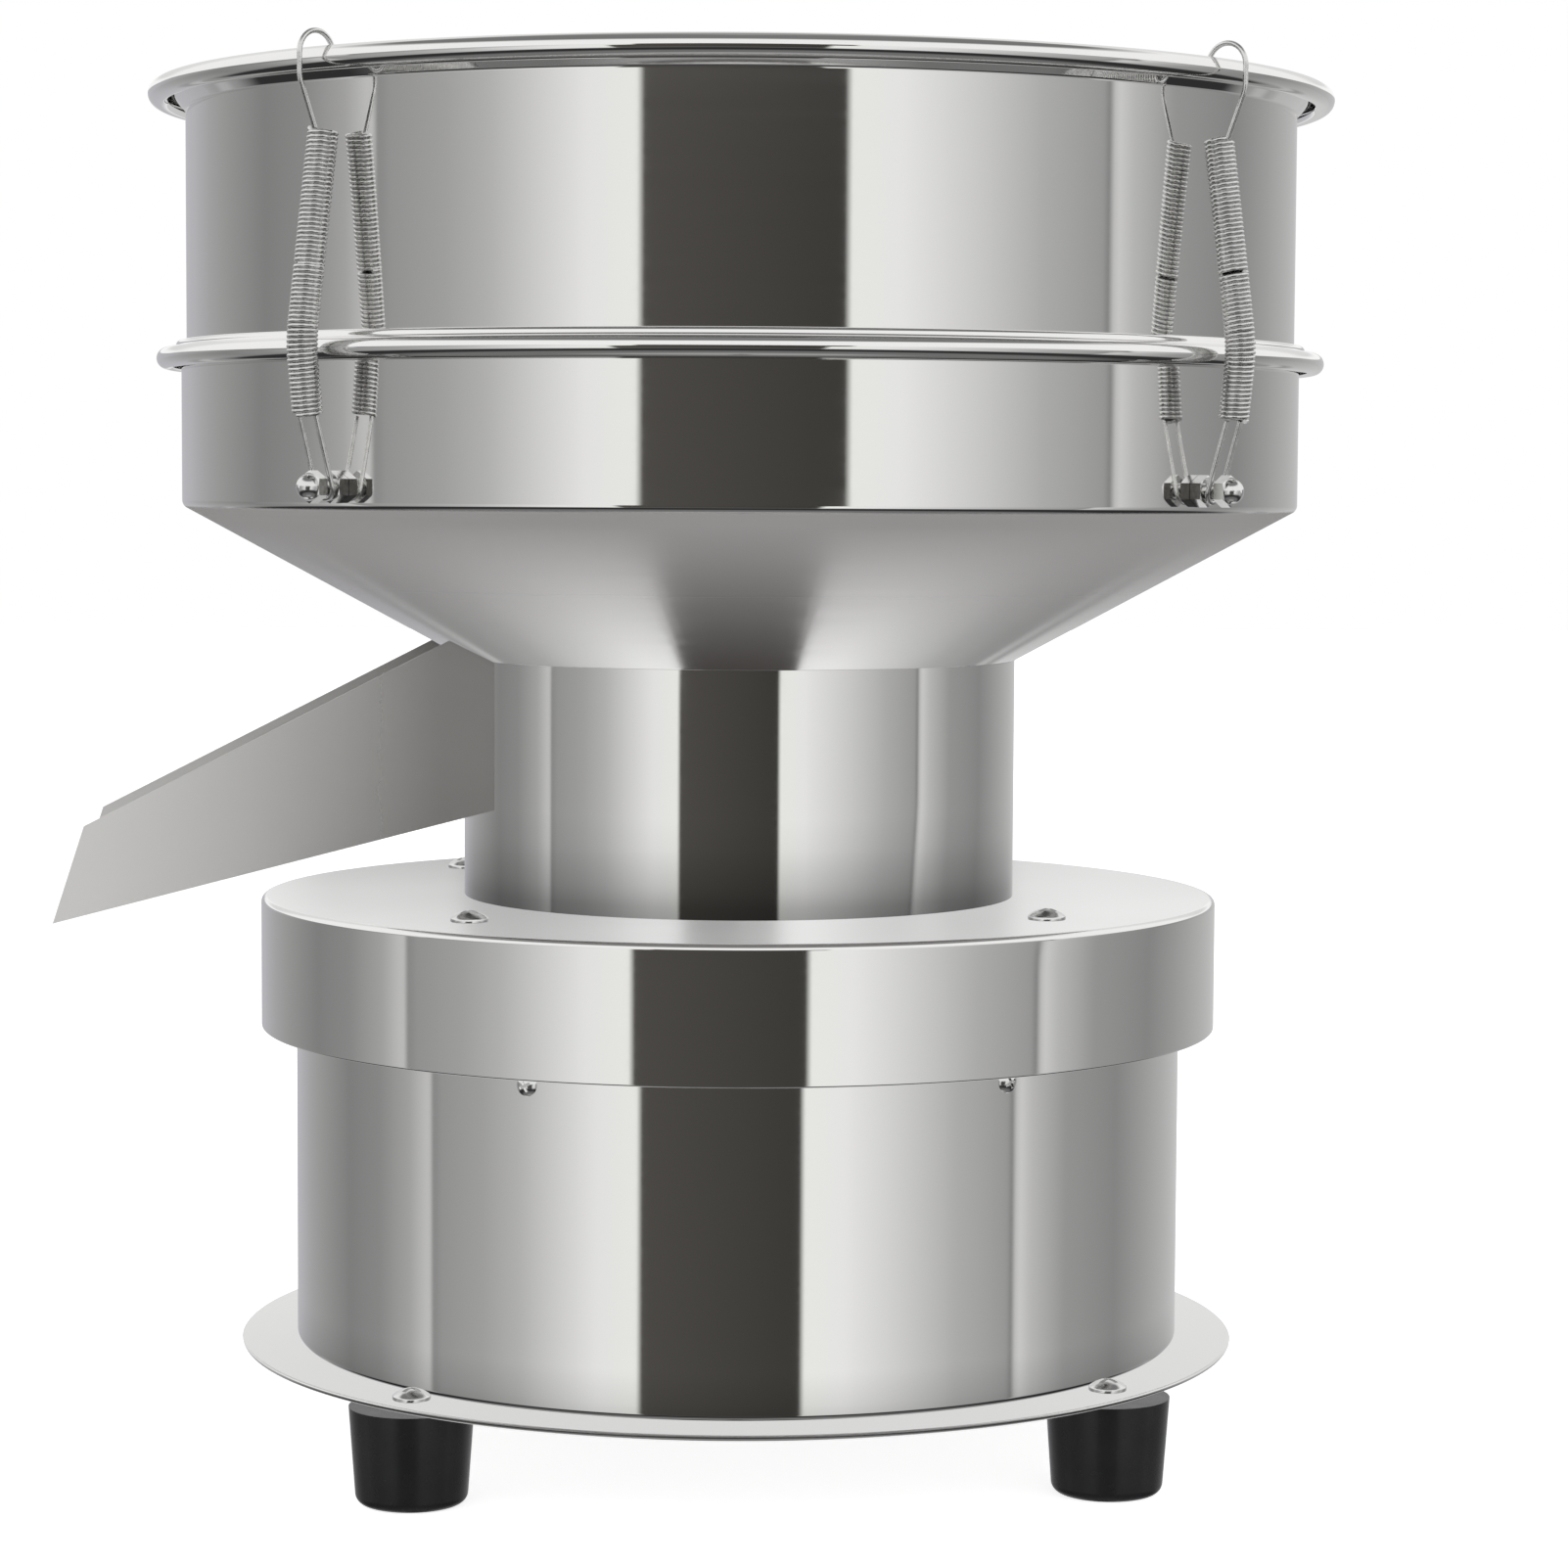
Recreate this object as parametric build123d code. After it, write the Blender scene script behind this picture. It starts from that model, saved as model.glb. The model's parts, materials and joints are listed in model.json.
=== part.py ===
from build123d import *
import math
import os

# Bench-top vibrating powder sieve with a 300 mm sieve drum.
# Millimetres, +Z up. The origin is on the floor, midway between the chute's lip and the far side of
# the drum's rim. The outlet chute points along -X and the front of the machine is -Y.
# Everything is modelled about the drum's axis and moved onto the origin as it is saved.

os.makedirs("parts", exist_ok=True)

# Clearances
weld_gap = 0.05
running_gap = 0.03
body_gap = 0.3
thread_gap = 0.1

# How far cutting bodies run past flat faces, and how far they reach through curved walls
cut_over = 1.0
wall_cut = 5.0

# Feet and ride springs stand in the corners, and the cap's and foot screws with them
corner_count = 4
corner_angle = 45.0

# Feet, base plate and base housing
foot_height = 25.0
foot_top_r = 16.0
foot_bottom_r = 14.0
foot_set_out = 5.5
foot_recess_r = 7.0
foot_recess_depth = 13.0
foot_edge = 2.0
plate_margin = 15.0
plate_t = 1.5
housing_r = 121.0
housing_wall = 1.2
housing_height = 101.5
housing_flange_width = 12.0

# Spring shelf inside the housing and the ride springs on it
shelf_depth = 10.0
shelf_width = 27.0
shelf_t = 1.5
shelf_leg = 16.0
ride_spring_r = 9.0
ride_wire_r = 1.0
ride_spring_length = 27.2
ride_turns = 4
ride_wire_sides = 8
spring_inset = 15.5
spring_cup_height = 4.0
spring_cup_wall = 1.0
spring_cup_hole_r = 6.0
wall_screw_drop = 9.0
wall_screw_count = 6

# Skirted cap and the neck on it
cap_margin = 9.5
cap_wall = 1.2
cap_t = 1.5
cap_skirt = 35.5
cap_edge_r = 1.2
cap_hole_r = 48.0
neck_r = 75.3
neck_wall = 1.2
neck_height = 64.5

# Funnel body: cone, lower drum and its wired edge
body_r = 151.2
body_wall = 1.0
cone_height = 41.2
body_height = 40.6
bead_r = 3.75
bead_curl_gap = 0.1
bead_lip = 0.3

# Outlet chute and the sloping plate that feeds it
chute_width = 66.6
chute_wall = 1.2
chute_slope = 14.4
chute_root_z = 25.3
chute_reach = 184.0
chute_lip_height = 25.8
chute_lip_lean = 8.3
chute_top_rise = 49.7
chute_top_run = 97.2
chute_hem = 5.0
chute_hem_start = 0.6
chute_root_over = 2.0
chute_window_drop = 1.5
chute_tongue_lap = 4.0
hem_t = 1.0

# Sieve drum, its rolled rim and its mesh
drum_clearance = 0.4
drum_wall = 1.0
drum_flare_z = 355.5
drum_flare_lead = 0.4
rim_rise = 6.5
rim_r = 3.0
rim_offset = 6.9
drum_flange_width = 10.0
mesh_t = 0.8
mesh_edge = 1.6
mesh_ways = 12
mesh_bar = 4.0
mesh_rim_lap = 2.0
clamp_ring_t = 2.0
seat_rise = 5.3
seat_width = 12.0
seat_t = 1.5
seat_leg = 3.5
seal_t = 3.0
seal_width = 9.0
seal_edge = 1.2

# Hold-down spring latches
latch_count = 4
latch_angle = 45.0
stud_rise = 5.3
stud_r = 2.0
stud_length = 11.0
stud_end_gap = 0.6
stud_nut_flats = 7.0
stud_nut_t = 3.2
acorn_hex_t = 3.0
acorn_ball_r = 3.15
coil_r = 3.9
coil_gap = 2.0
coil_bend_r = 40.0
coil_low_rise = 17.6
coil_body_gap = 6.6
seam_rise = 36.0
coil_top_rise = 51.4
coil_drum_gap = 2.5
wire_r = 0.65
loop_wire_at = 5.1
hook_arch_r = 5.6
hook_tip_depth = 1.2
hook_shank_drop = 6.0
hook_entry = 2.4
hook_entry_sink = 0.4
hook_rim_gap = 0.35
hook_arch_sink = 2.0
hook_bend_r = 6.0

# Screws, all with plain pan heads
screw_r = 2.5
screw_head_r = 4.9
screw_head_h = 2.9
head_brim_share = 0.35
wall_screw_r = 1.5
wall_screw_head_r = 2.75
wall_screw_head_h = 1.8
foot_screw_length = 18.0
cap_screw_length = 11.0
wall_screw_length = 6.0
nut_flats = 8.0
nut_t = 4.0

# Vertical vibration motor hung under the cap
motor_r = 46.0
motor_wall = 3.0
motor_length = 66.0
motor_ribs = 12
rib_width = 2.4
rib_depth = 3.0
rib_root = 1.0
rib_end = 4.0
spigot_depth = 2.0
flange_r = 64.0
flange_t = 5.0
motor_bolt_pitch_r = 56.0
motor_bolt_r = 3.0
motor_bolt_count = 4
motor_bolt_flats = 10.0
motor_bolt_head_h = 4.0
motor_bolt_length = 14.0
bolt_head_lap = 0.5
bell_t = 6.0
bell_edge = 2.0
bell_face_r = 39.56
bearing_bore_r = 7.5
bearing_r = 17.5
bearing_width = 11.0
bearing_pocket_t = 3.0
bearing_shield_half = 3.0
bearing_shield_depth = 0.8
shaft_hole_gap = 2.5
stator_length = 40.0
air_gap = 0.4
rotor_r = 24.0
winding_depth = 6.0
winding_inset = 4.0
shaft_r = 6.0
shaft_shoulder = 3.0
shaft_step_gap = 1.0
shaft_overhang = 30.0
shaft_top_overhang = 22.0
weight_r = 36.0
weight_t = 14.0
weight_hub_r = 13.0
weight_gap = 5.0
weight_bolt_r = 2.5
weight_bolt_at = 9.2
weight_flat_at = 7.5
weight_slit = 1.6
weight_slit_end = 3.0
weight_bolt_grip = 3.0
weight_bolt_head_h = 3.5

# Switch, cable gland and the electrical pieces in the base
switch_angle = 90.0
switch_z = 70.0
switch_width = 12.8
switch_height = 19.4
switch_depth = 14.0
bezel_margin = 1.3
bezel_t = 2.0
pocket_wall = 1.2
pocket_floor = 4.5
pocket_play = 0.2
bezel_corner = 1.2
switch_lap = 0.5
tab_pitch = 5.0
tab_length = 6.0
tab_width = 4.8
tab_t = 0.8
rocker_tilt = 10.0
rocker_pivot_r = 1.0
rocker_pivot_back = 4.5
rocker_pivot_gap = 0.05
rocker_pin_end = 0.5
rocker_set_back = 0.9
rocker_lip = 1.5
rocker_lip_end = 1.0
rocker_back_end = 0.8
rocker_belly = 3.0
gland_angle = 62.0
gland_z = 56.0
gland_thread_r = 8.0
gland_hex_flats = 22.0
gland_hex_t = 4.0
gland_cap_r = 10.4
gland_cap_length = 12.0
gland_cap_round = 6.0
gland_cap_rim = 1.5
gland_bulge_out = 0.88
gland_bulge_back = 0.4
gland_inside = 13.0
gland_nut_t = 4.0
cable_r = 3.6
capacitor_r = 16.0
capacitor_height = 62.0
capacitor_edge = 2.0
capacitor_pitch_r = 86.0
capacitor_angle = 135.0
capacitor_stud_r = 4.0
capacitor_stud_length = 9.0
capacitor_nut_flats = 13.0
capacitor_nut_t = 5.0
terminal_length = 30.0
terminal_width = 16.0
terminal_height = 14.0
terminal_ways = 3
terminal_pitch = 9.375
terminal_screw_r = 2.2
terminal_wire_r = 1.6
terminal_wire_drop = 1.0
terminal_screw_depth = 11.0
terminal_pitch_r = 84.0
terminal_angle = 35.0

# Radii and levels worked out from the sizes above
plate_r = housing_r + plate_margin
foot_pitch_r = housing_r + foot_set_out
spring_pitch_r = housing_r - spring_inset
cap_r = housing_r + cap_margin
plate_top = foot_height + plate_t
housing_top = plate_top + housing_height
shelf_top = housing_top - shelf_depth
cap_under = shelf_top + ride_spring_length + body_gap
cap_top = cap_under + cap_t
skirt_bottom = cap_top - cap_skirt
neck_top = cap_top + neck_height
cone_top = neck_top + cone_height
bead_z = cone_top + body_height
body_bore_r = body_r - body_wall
bead_mid_r = body_bore_r + bead_r + bead_curl_gap
drum_r = body_bore_r - drum_clearance
drum_bore_r = drum_r - drum_wall
rim_mid_r = drum_r + rim_offset
rim_z = drum_flare_z + rim_rise
axis_x = (chute_reach - rim_mid_r - rim_r) / 2
wall_screw_z = shelf_top - wall_screw_drop
shelf_bore_r = housing_r - housing_wall - shelf_width
seat_top = cone_top + seat_rise + seat_t
drum_bottom = seat_top + seal_t + body_gap
coil_low_r = body_r + coil_body_gap + coil_r
coil_top_r = drum_r + coil_drum_gap + coil_r
chute_root_x = -math.sqrt(neck_r ** 2 - (chute_width / 2) ** 2)
chute_root_level = cap_top + chute_root_z
floor_rise = math.tan(math.radians(chute_slope))
chute_floor_r = neck_r - neck_wall


def at(radius, height):
    """A point of a turned profile."""
    return (radius, 0, height)


def outline(*points):
    """A closed face through points given as radius and height."""
    return make_face(Polyline(*[at(*point) for point in points], close=True))


def bounded(*segments):
    """A face bounded by lines and arcs given in order."""
    return Face(Wire([edge for segment in segments for edge in segment.edges()]))


def turned(*points):
    """A solid of revolution about the drum's axis."""
    return revolve(outline(*points), Axis.Z)


def disc_ring(outer, inner, low, high):
    """A flat ring between two levels."""
    return turned((inner, low), (outer, low), (outer, high), (inner, high))


def rod(radius, low, high):
    """An upright round bar on the local axis."""
    return turned((0, low), (radius, low), (radius, high), (0, high))


def drill(radius, low, high):
    """An upright round cutter that runs past both faces."""
    return rod(radius, low - cut_over, high + cut_over)


def spread(piece, count, first_angle):
    """Copies of a piece turned evenly about the drum's axis."""
    return [Rot(0, 0, first_angle + k * 360 / count) * piece for k in range(count)]


def outward(piece, radius, height):
    """Lays an upright piece down so that its local axis points out along +X."""
    return Pos(radius, 0, height) * Rot(0, 90, 0) * piece


def hexagon(flats, thickness, bore):
    """An upright hexagon nut with its corners chamfered, on the local origin."""
    corner = flats / math.sqrt(3)
    blank = extrude(RegularPolygon(flats / 2, 6, major_radius=False), thickness)
    low = corner - flats / 2
    envelope = turned(
        (0, 0), (corner, 0), (corner, thickness - low / 2), (flats / 2, thickness), (0, thickness))
    blank = blank & envelope
    if bore:
        blank = blank - drill(bore, 0, thickness)
    return blank


def dome(radius, low, high):
    """The arc of a ball's cap, from its edge to its top on the axis."""
    rise = high - low
    ball = (radius ** 2 + rise ** 2) / (2 * rise)
    lean = math.asin(radius / ball) / 2
    return ThreePointArc(
        at(radius, low), at(ball * math.sin(lean), high - ball + ball * math.cos(lean)), at(0, high))


def pan_screw(shank_r, head_r, head_h, length):
    """A pan-headed screw, its head above the local origin and its shank below."""
    brim = head_h * head_brim_share
    sides = Polyline(
        at(0, head_h), at(0, -length), at(shank_r, -length), at(shank_r, 0), at(head_r, 0), at(head_r, brim))
    return revolve(bounded(dome(head_r, brim, head_h), sides), Axis.Z)


def save(name, *solids):
    """One STEP file for one named piece, or for a group of equal pieces."""
    placed = [Pos(axis_x, 0, 0) * solid for solid in solids]
    shape = placed[0] if len(placed) == 1 else Compound(children=placed)
    export_step(shape, f"parts/{name}.step")


# Feet and base plate

def rubber_foot():
    body = turned(
        (screw_r + thread_gap, foot_recess_depth), (screw_r + thread_gap, foot_height),
        (foot_top_r, foot_height), (foot_bottom_r, foot_edge), (foot_bottom_r - foot_edge, 0),
        (foot_recess_r, 0), (foot_recess_r, foot_recess_depth))
    return Pos(foot_pitch_r, 0, 0) * body


def foot_screw():
    screw = pan_screw(screw_r, screw_head_r, screw_head_h, foot_screw_length)
    return Pos(foot_pitch_r, 0, plate_top) * screw


def foot_nut():
    nut = hexagon(nut_flats, nut_t, screw_r + running_gap)
    return Pos(foot_pitch_r, 0, foot_recess_depth - nut_t) * nut


def base_plate():
    plate = rod(plate_r, foot_height, plate_top)
    hole = Pos(foot_pitch_r, 0, 0) * drill(screw_r + thread_gap, foot_height, plate_top)
    for cut in spread(hole, corner_count, corner_angle):
        plate -= cut
    stud = Pos(capacitor_pitch_r, 0, 0) * drill(capacitor_stud_r + thread_gap, foot_height, plate_top)
    return plate - Rot(0, 0, capacitor_angle) * stud


save("rubber_feet", *spread(rubber_foot(), corner_count, corner_angle))
save("foot_screws", *spread(foot_screw(), corner_count, corner_angle))
save("foot_nuts", *spread(foot_nut(), corner_count, corner_angle))
save("base_plate", base_plate())


# Base housing with the shelf for the springs

def base_housing():
    bore = housing_r - housing_wall
    shell = turned(
        (bore - housing_flange_width, plate_top), (housing_r, plate_top), (housing_r, housing_top),
        (bore, housing_top), (bore, plate_top + housing_wall),
        (bore - housing_flange_width, plate_top + housing_wall))
    hole = outward(drill(wall_screw_r + thread_gap, -wall_cut, wall_cut), housing_r, wall_screw_z)
    for cut in spread(hole, wall_screw_count, 0):
        shell -= cut
    window = Box(2 * wall_cut, switch_width + 2 * thread_gap, switch_height + 2 * thread_gap)
    shell -= Rot(0, 0, switch_angle) * Pos(housing_r, 0, switch_z) * window
    entry = outward(drill(gland_thread_r + thread_gap, -wall_cut, wall_cut), housing_r, gland_z)
    return shell - Rot(0, 0, gland_angle) * entry


def spring_shelf():
    outer = housing_r - housing_wall - weld_gap
    ring = turned(
        (shelf_bore_r, shelf_top - shelf_t), (outer - shelf_t, shelf_top - shelf_t),
        (outer - shelf_t, shelf_top - shelf_leg), (outer, shelf_top - shelf_leg),
        (outer, shelf_top), (shelf_bore_r, shelf_top))
    hole = outward(drill(wall_screw_r + running_gap, -wall_cut, wall_cut), outer, wall_screw_z)
    for cut in spread(hole, wall_screw_count, 0):
        ring -= cut
    return ring


def wall_screw():
    screw = pan_screw(wall_screw_r, wall_screw_head_r, wall_screw_head_h, wall_screw_length)
    return outward(screw, housing_r + weld_gap, wall_screw_z)


def spring_cup():
    bore = ride_spring_r + ride_wire_r + thread_gap
    cup = turned(
        (spring_cup_hole_r, shelf_top), (bore + spring_cup_wall, shelf_top),
        (bore + spring_cup_wall, shelf_top + spring_cup_height), (bore, shelf_top + spring_cup_height),
        (bore, shelf_top + spring_cup_wall), (spring_cup_hole_r, shelf_top + spring_cup_wall))
    return Pos(spring_pitch_r, 0, 0) * cup


def ride_spring():
    """A compression spring on the shelf, with its wire ends cut square."""
    low = shelf_top + spring_cup_wall + ride_wire_r + thread_gap
    height = shelf_top + ride_spring_length - ride_wire_r - low
    path = Helix(height / ride_turns, height, ride_spring_r)
    start = Plane(path @ 0, z_dir=path % 0)
    coil = sweep(start * RegularPolygon(ride_wire_r, ride_wire_sides), path, is_frenet=True)
    return Pos(spring_pitch_r, 0, low) * coil


save("base_housing", base_housing())
save("spring_shelf", spring_shelf())
save("housing_screws", *spread(wall_screw(), wall_screw_count, 0))
save("spring_cups", *spread(spring_cup(), corner_count, corner_angle))
save("ride_springs", *spread(ride_spring(), corner_count, corner_angle))


# Skirted cap, neck and sloping discharge plate

def skirted_cap():
    wall = Polyline(
        at(cap_hole_r, cap_under), at(cap_r - cap_wall, cap_under), at(cap_r - cap_wall, skirt_bottom),
        at(cap_r, skirt_bottom), at(cap_r, cap_top - cap_edge_r))
    turn_in = cap_edge_r * (1 - math.sqrt(0.5))
    edge = ThreePointArc(
        at(cap_r, cap_top - cap_edge_r), at(cap_r - turn_in, cap_top - turn_in),
        at(cap_r - cap_edge_r, cap_top))
    top = Polyline(at(cap_r - cap_edge_r, cap_top), at(cap_hole_r, cap_top), at(cap_hole_r, cap_under))
    cap = revolve(bounded(wall, edge, top), Axis.Z)
    screw_hole = Pos(spring_pitch_r, 0, 0) * drill(screw_r + thread_gap, cap_under, cap_top)
    bolt_hole = Pos(motor_bolt_pitch_r, 0, 0) * drill(motor_bolt_r + thread_gap, cap_under, cap_top)
    for cut in spread(screw_hole, corner_count, corner_angle) + spread(bolt_hole, motor_bolt_count, 0):
        cap -= cut
    return cap


def cap_screw():
    screw = pan_screw(screw_r, screw_head_r, screw_head_h, cap_screw_length)
    return Pos(spring_pitch_r, 0, cap_top) * screw


def cap_nut():
    return Pos(spring_pitch_r, 0, cap_under - nut_t) * hexagon(nut_flats, nut_t, screw_r + running_gap)


def chute_level(x):
    """Height of the underside of the chute's floor."""
    return chute_root_level + (x - chute_root_x) * floor_rise


def sloping_slab(low_x, high_x, half_width):
    """A slab of the floor's thickness along the slope."""
    rise = chute_wall / math.cos(math.radians(chute_slope))
    profile = outline(
        (low_x, chute_level(low_x)), (high_x, chute_level(high_x)),
        (high_x, chute_level(high_x) + rise), (low_x, chute_level(low_x) + rise))
    return extrude(profile, half_width, both=True)


def neck():
    tube = disc_ring(neck_r, chute_floor_r, cap_top, neck_top)
    half = chute_width / 2 - chute_wall
    low_x = -neck_r - wall_cut
    high_z = neck_top - chute_window_drop
    window = outline(
        (low_x, chute_level(low_x)), (-neck_r / 2, chute_level(-neck_r / 2)),
        (-neck_r / 2, high_z), (low_x, high_z))
    return tube - extrude(window, half, both=True)


def discharge_plate():
    slab = sloping_slab(-neck_r, neck_r, neck_r)
    return slab & rod(chute_floor_r - weld_gap, cap_top, neck_top)


save("cap", skirted_cap())
save("cap_screws", *spread(cap_screw(), corner_count, corner_angle))
save("cap_nuts", *spread(cap_nut(), corner_count, corner_angle))
save("neck", neck())
save("discharge_plate", discharge_plate())


# Open-topped outlet chute

def outlet_chute():
    lip_x = -chute_reach
    root_top = neck_top + chute_root_over
    lip_top_x = lip_x + chute_lip_lean
    lip_top_z = chute_level(lip_x) + chute_lip_height
    side = [
        (lip_x, chute_level(lip_x)), (-neck_r / 2, chute_level(-neck_r / 2)), (-neck_r / 2, root_top),
        (lip_top_x + chute_top_run, lip_top_z + chute_top_rise), (lip_top_x, lip_top_z)]
    block = extrude(outline(*side), chute_width / 2, both=True)
    rise = chute_wall / math.cos(math.radians(chute_slope))
    far = 2 * chute_reach
    channel = [
        (-far, chute_level(-far) + rise), (0, chute_level(0) + rise), (0, far), (-far, far)]
    trough = block - extrude(outline(*channel), chute_width / 2 - chute_wall, both=True)
    hem_x = lip_top_x + chute_hem_start
    hem_z = lip_top_z + chute_hem_start * chute_top_rise / chute_top_run
    hem_back = chute_hem * chute_lip_lean / chute_lip_height
    strip = [
        (hem_x, hem_z), (lip_top_x + chute_top_run, lip_top_z + chute_top_rise),
        (lip_top_x + chute_top_run, lip_top_z + chute_top_rise - chute_hem),
        (hem_x - hem_back, hem_z - chute_hem)]
    for side_sign in (-1, 1):
        inner = side_sign * (chute_width / 2 - chute_wall)
        hem = Pos(0, inner, 0) * extrude(outline(*strip), side_sign * hem_t)
        trough += hem
    return trough


def machine_envelope():
    """The outside of the neck and cone, which the chute is welded to."""
    low = cap_top - wall_cut
    return turned(
        (0, low), (neck_r + weld_gap, low), (neck_r + weld_gap, neck_top),
        (body_r + weld_gap, cone_top), (body_r, bead_z), (0, bead_z))


def fitted_chute():
    chute = outlet_chute() - machine_envelope()
    half = chute_width / 2 - chute_wall - thread_gap
    tongue = sloping_slab(-neck_r - chute_tongue_lap, -neck_r / 3, half)
    tongue -= rod(chute_floor_r, cap_top, neck_top)
    return chute + tongue


save("outlet_chute", fitted_chute())


# Funnel body with its wired edge, and the seat for the drum

def funnel_body():
    slope = math.atan2(cone_height, body_r - neck_r)
    sheet = body_wall / math.sin(slope)
    lift = body_wall / math.cos(slope) - body_wall * math.tan(slope)
    inner_corner = cone_top + lift
    meet = math.sqrt(bead_r ** 2 - (bead_mid_r - body_r) ** 2)
    top = math.sqrt(bead_r ** 2 - (bead_mid_r - body_bore_r - bead_lip) ** 2)
    wall = Polyline(
        at(body_bore_r + bead_lip, bead_z + top), at(body_bore_r, bead_z), at(body_bore_r, inner_corner),
        at(neck_r - sheet, neck_top), at(neck_r, neck_top), at(body_r, cone_top), at(body_r, bead_z - meet))
    bead = ThreePointArc(
        at(body_r, bead_z - meet), at(bead_mid_r + bead_r, bead_z),
        at(body_bore_r + bead_lip, bead_z + top))
    shell = revolve(bounded(wall, bead), Axis.Z)
    hole = outward(drill(stud_r + running_gap, -wall_cut, wall_cut), body_r, cone_top + stud_rise)
    for cut in spread(hole, latch_count, latch_angle):
        shell -= cut
    return shell


def seat_ring():
    outer = body_bore_r - weld_gap
    return turned(
        (outer - seat_width, seat_top - seat_t), (outer - seat_t, seat_top - seat_t),
        (outer - seat_t, seat_top - seat_t - seat_leg), (outer, seat_top - seat_t - seat_leg),
        (outer, seat_top), (outer - seat_width, seat_top))


def drum_seal():
    outer = drum_r
    inner = outer - seal_width
    top = seat_top + seal_t
    return turned(
        (inner, seat_top), (outer, seat_top), (outer, top - seal_edge), (outer - seal_edge, top),
        (inner + seal_edge, top), (inner, top - seal_edge))


save("funnel_body", funnel_body())
save("seat_ring", seat_ring())
save("drum_seal", drum_seal())


# Sieve drum with rolled rim, mesh and clamp ring

def sieve_drum():
    flange_bore = drum_r - drum_flange_width
    reach = math.sqrt(0.5) * rim_r
    sink = reach - drum_wall
    outer_meet = at(rim_mid_r - sink, rim_z - math.sqrt(rim_r ** 2 - sink ** 2))
    inner_meet = at(rim_mid_r - rim_r, rim_z)
    wall = Polyline(
        inner_meet, at(drum_bore_r, drum_flare_z + drum_flare_lead), at(drum_bore_r, drum_bottom + drum_wall),
        at(flange_bore, drum_bottom + drum_wall), at(flange_bore, drum_bottom), at(drum_r, drum_bottom),
        at(drum_r, drum_flare_z), outer_meet)
    roll = ThreePointArc(outer_meet, at(rim_mid_r + reach, rim_z + reach), inner_meet)
    return revolve(bounded(wall, roll), Axis.Z)


def sieve_mesh():
    """A rim under the clamp ring and a plain grid of bars in place of the woven wire."""
    low = drum_bottom + drum_wall
    high = low + mesh_t
    open_r = drum_r - drum_flange_width - mesh_rim_lap
    pitch = 2 * open_r / mesh_ways
    bars = []
    for number in range(1, mesh_ways):
        bar = Pos(0, number * pitch - open_r, (low + high) / 2) * Box(2 * open_r, mesh_bar, mesh_t)
        bars += [bar, Rot(0, 0, 90) * bar]
    grid = (bars[0] + bars[1:]) & rod(open_r + weld_gap, low, high)
    return disc_ring(drum_bore_r - mesh_edge, open_r, low, high) + grid


def clamp_ring():
    low = drum_bottom + drum_wall + mesh_t
    return disc_ring(drum_bore_r - weld_gap, drum_r - drum_flange_width, low, low + clamp_ring_t)


save("sieve_drum", sieve_drum())
save("sieve_mesh", sieve_mesh())
save("clamp_ring", clamp_ring())


# Hold-down latches: stud, nuts, wire loop, two halves of the coil and the rim hook

stud_z = cone_top + stud_rise
loop_lean = (coil_low_r - body_r - loop_wire_at) / (body_height - coil_low_rise - stud_rise)
acorn_at = loop_wire_at + wire_r + loop_lean * stud_nut_flats / math.sqrt(3) + thread_gap
crest_r = bead_mid_r + bead_r + coil_gap + coil_r
crest = (crest_r, bead_z)
coil_top = (coil_top_r, bead_z + coil_top_rise)
coil_low = (coil_low_r, bead_z - coil_low_rise)


def along_coil(height):
    """Point on the straight upper stretch of the coil's axis at a height above the bead."""
    share = height / coil_top_rise
    return (crest_r + (coil_top_r - crest_r) * share, bead_z + height)


def route(*segments):
    """One wire through lines and arcs given in order."""
    return Wire([edge for segment in segments for edge in segment.edges()])


def pipe(path, radius):
    """A round bar along a path of lines and tangent arcs."""
    start = Plane(path @ 0, z_dir=path % 0)
    return sweep(start * Circle(radius), path)


def latch_stud():
    return outward(rod(stud_r, -body_wall, stud_length - stud_end_gap), body_r, stud_z)


def latch_nut():
    nut = hexagon(stud_nut_flats, stud_nut_t, stud_r + running_gap)
    return outward(nut, body_r + weld_gap, stud_z)


def acorn_nut():
    crown_top = acorn_hex_t + acorn_ball_r
    base = Polyline(at(0, crown_top), at(0, acorn_hex_t), at(acorn_ball_r, acorn_hex_t))
    crown = revolve(bounded(dome(acorn_ball_r, acorn_hex_t, crown_top), base), Axis.Z)
    nut = hexagon(stud_nut_flats, acorn_hex_t, 0) + crown
    nut -= rod(stud_r + running_gap, -cut_over, stud_length - acorn_at)
    return outward(nut, body_r + acorn_at, stud_z)


def wire_loop():
    """Wire from the coil's lower end round under the stud and back up."""
    low = Vector(body_r + loop_wire_at, 0, stud_z)
    high = Vector(*at(*coil_low)) - Vector(0, 0, body_gap)
    up = (high - low).normalized()
    span = (high - low).length
    plane = Plane(low, x_dir=(0, 1, 0), z_dir=Vector(0, 1, 0).cross(up))
    ring = stud_r + wire_r + body_gap
    legs = [Line((side, span), (side, 0)) for side in (-ring, ring)]
    under = ThreePointArc((-ring, 0), (0, -ring), (ring, 0))
    return pipe(plane * route(legs[0], under, legs[1]), wire_r)


def lower_coil():
    seam = along_coil(seam_rise - coil_low_rise - body_gap)
    path = FilletPolyline(at(*coil_low), at(*crest), at(*seam), radius=coil_bend_r)
    return pipe(path, coil_r)


def upper_coil():
    seam = along_coil(seam_rise - coil_low_rise)
    return pipe(Line(at(*seam), at(*coil_top)), coil_r)


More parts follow.
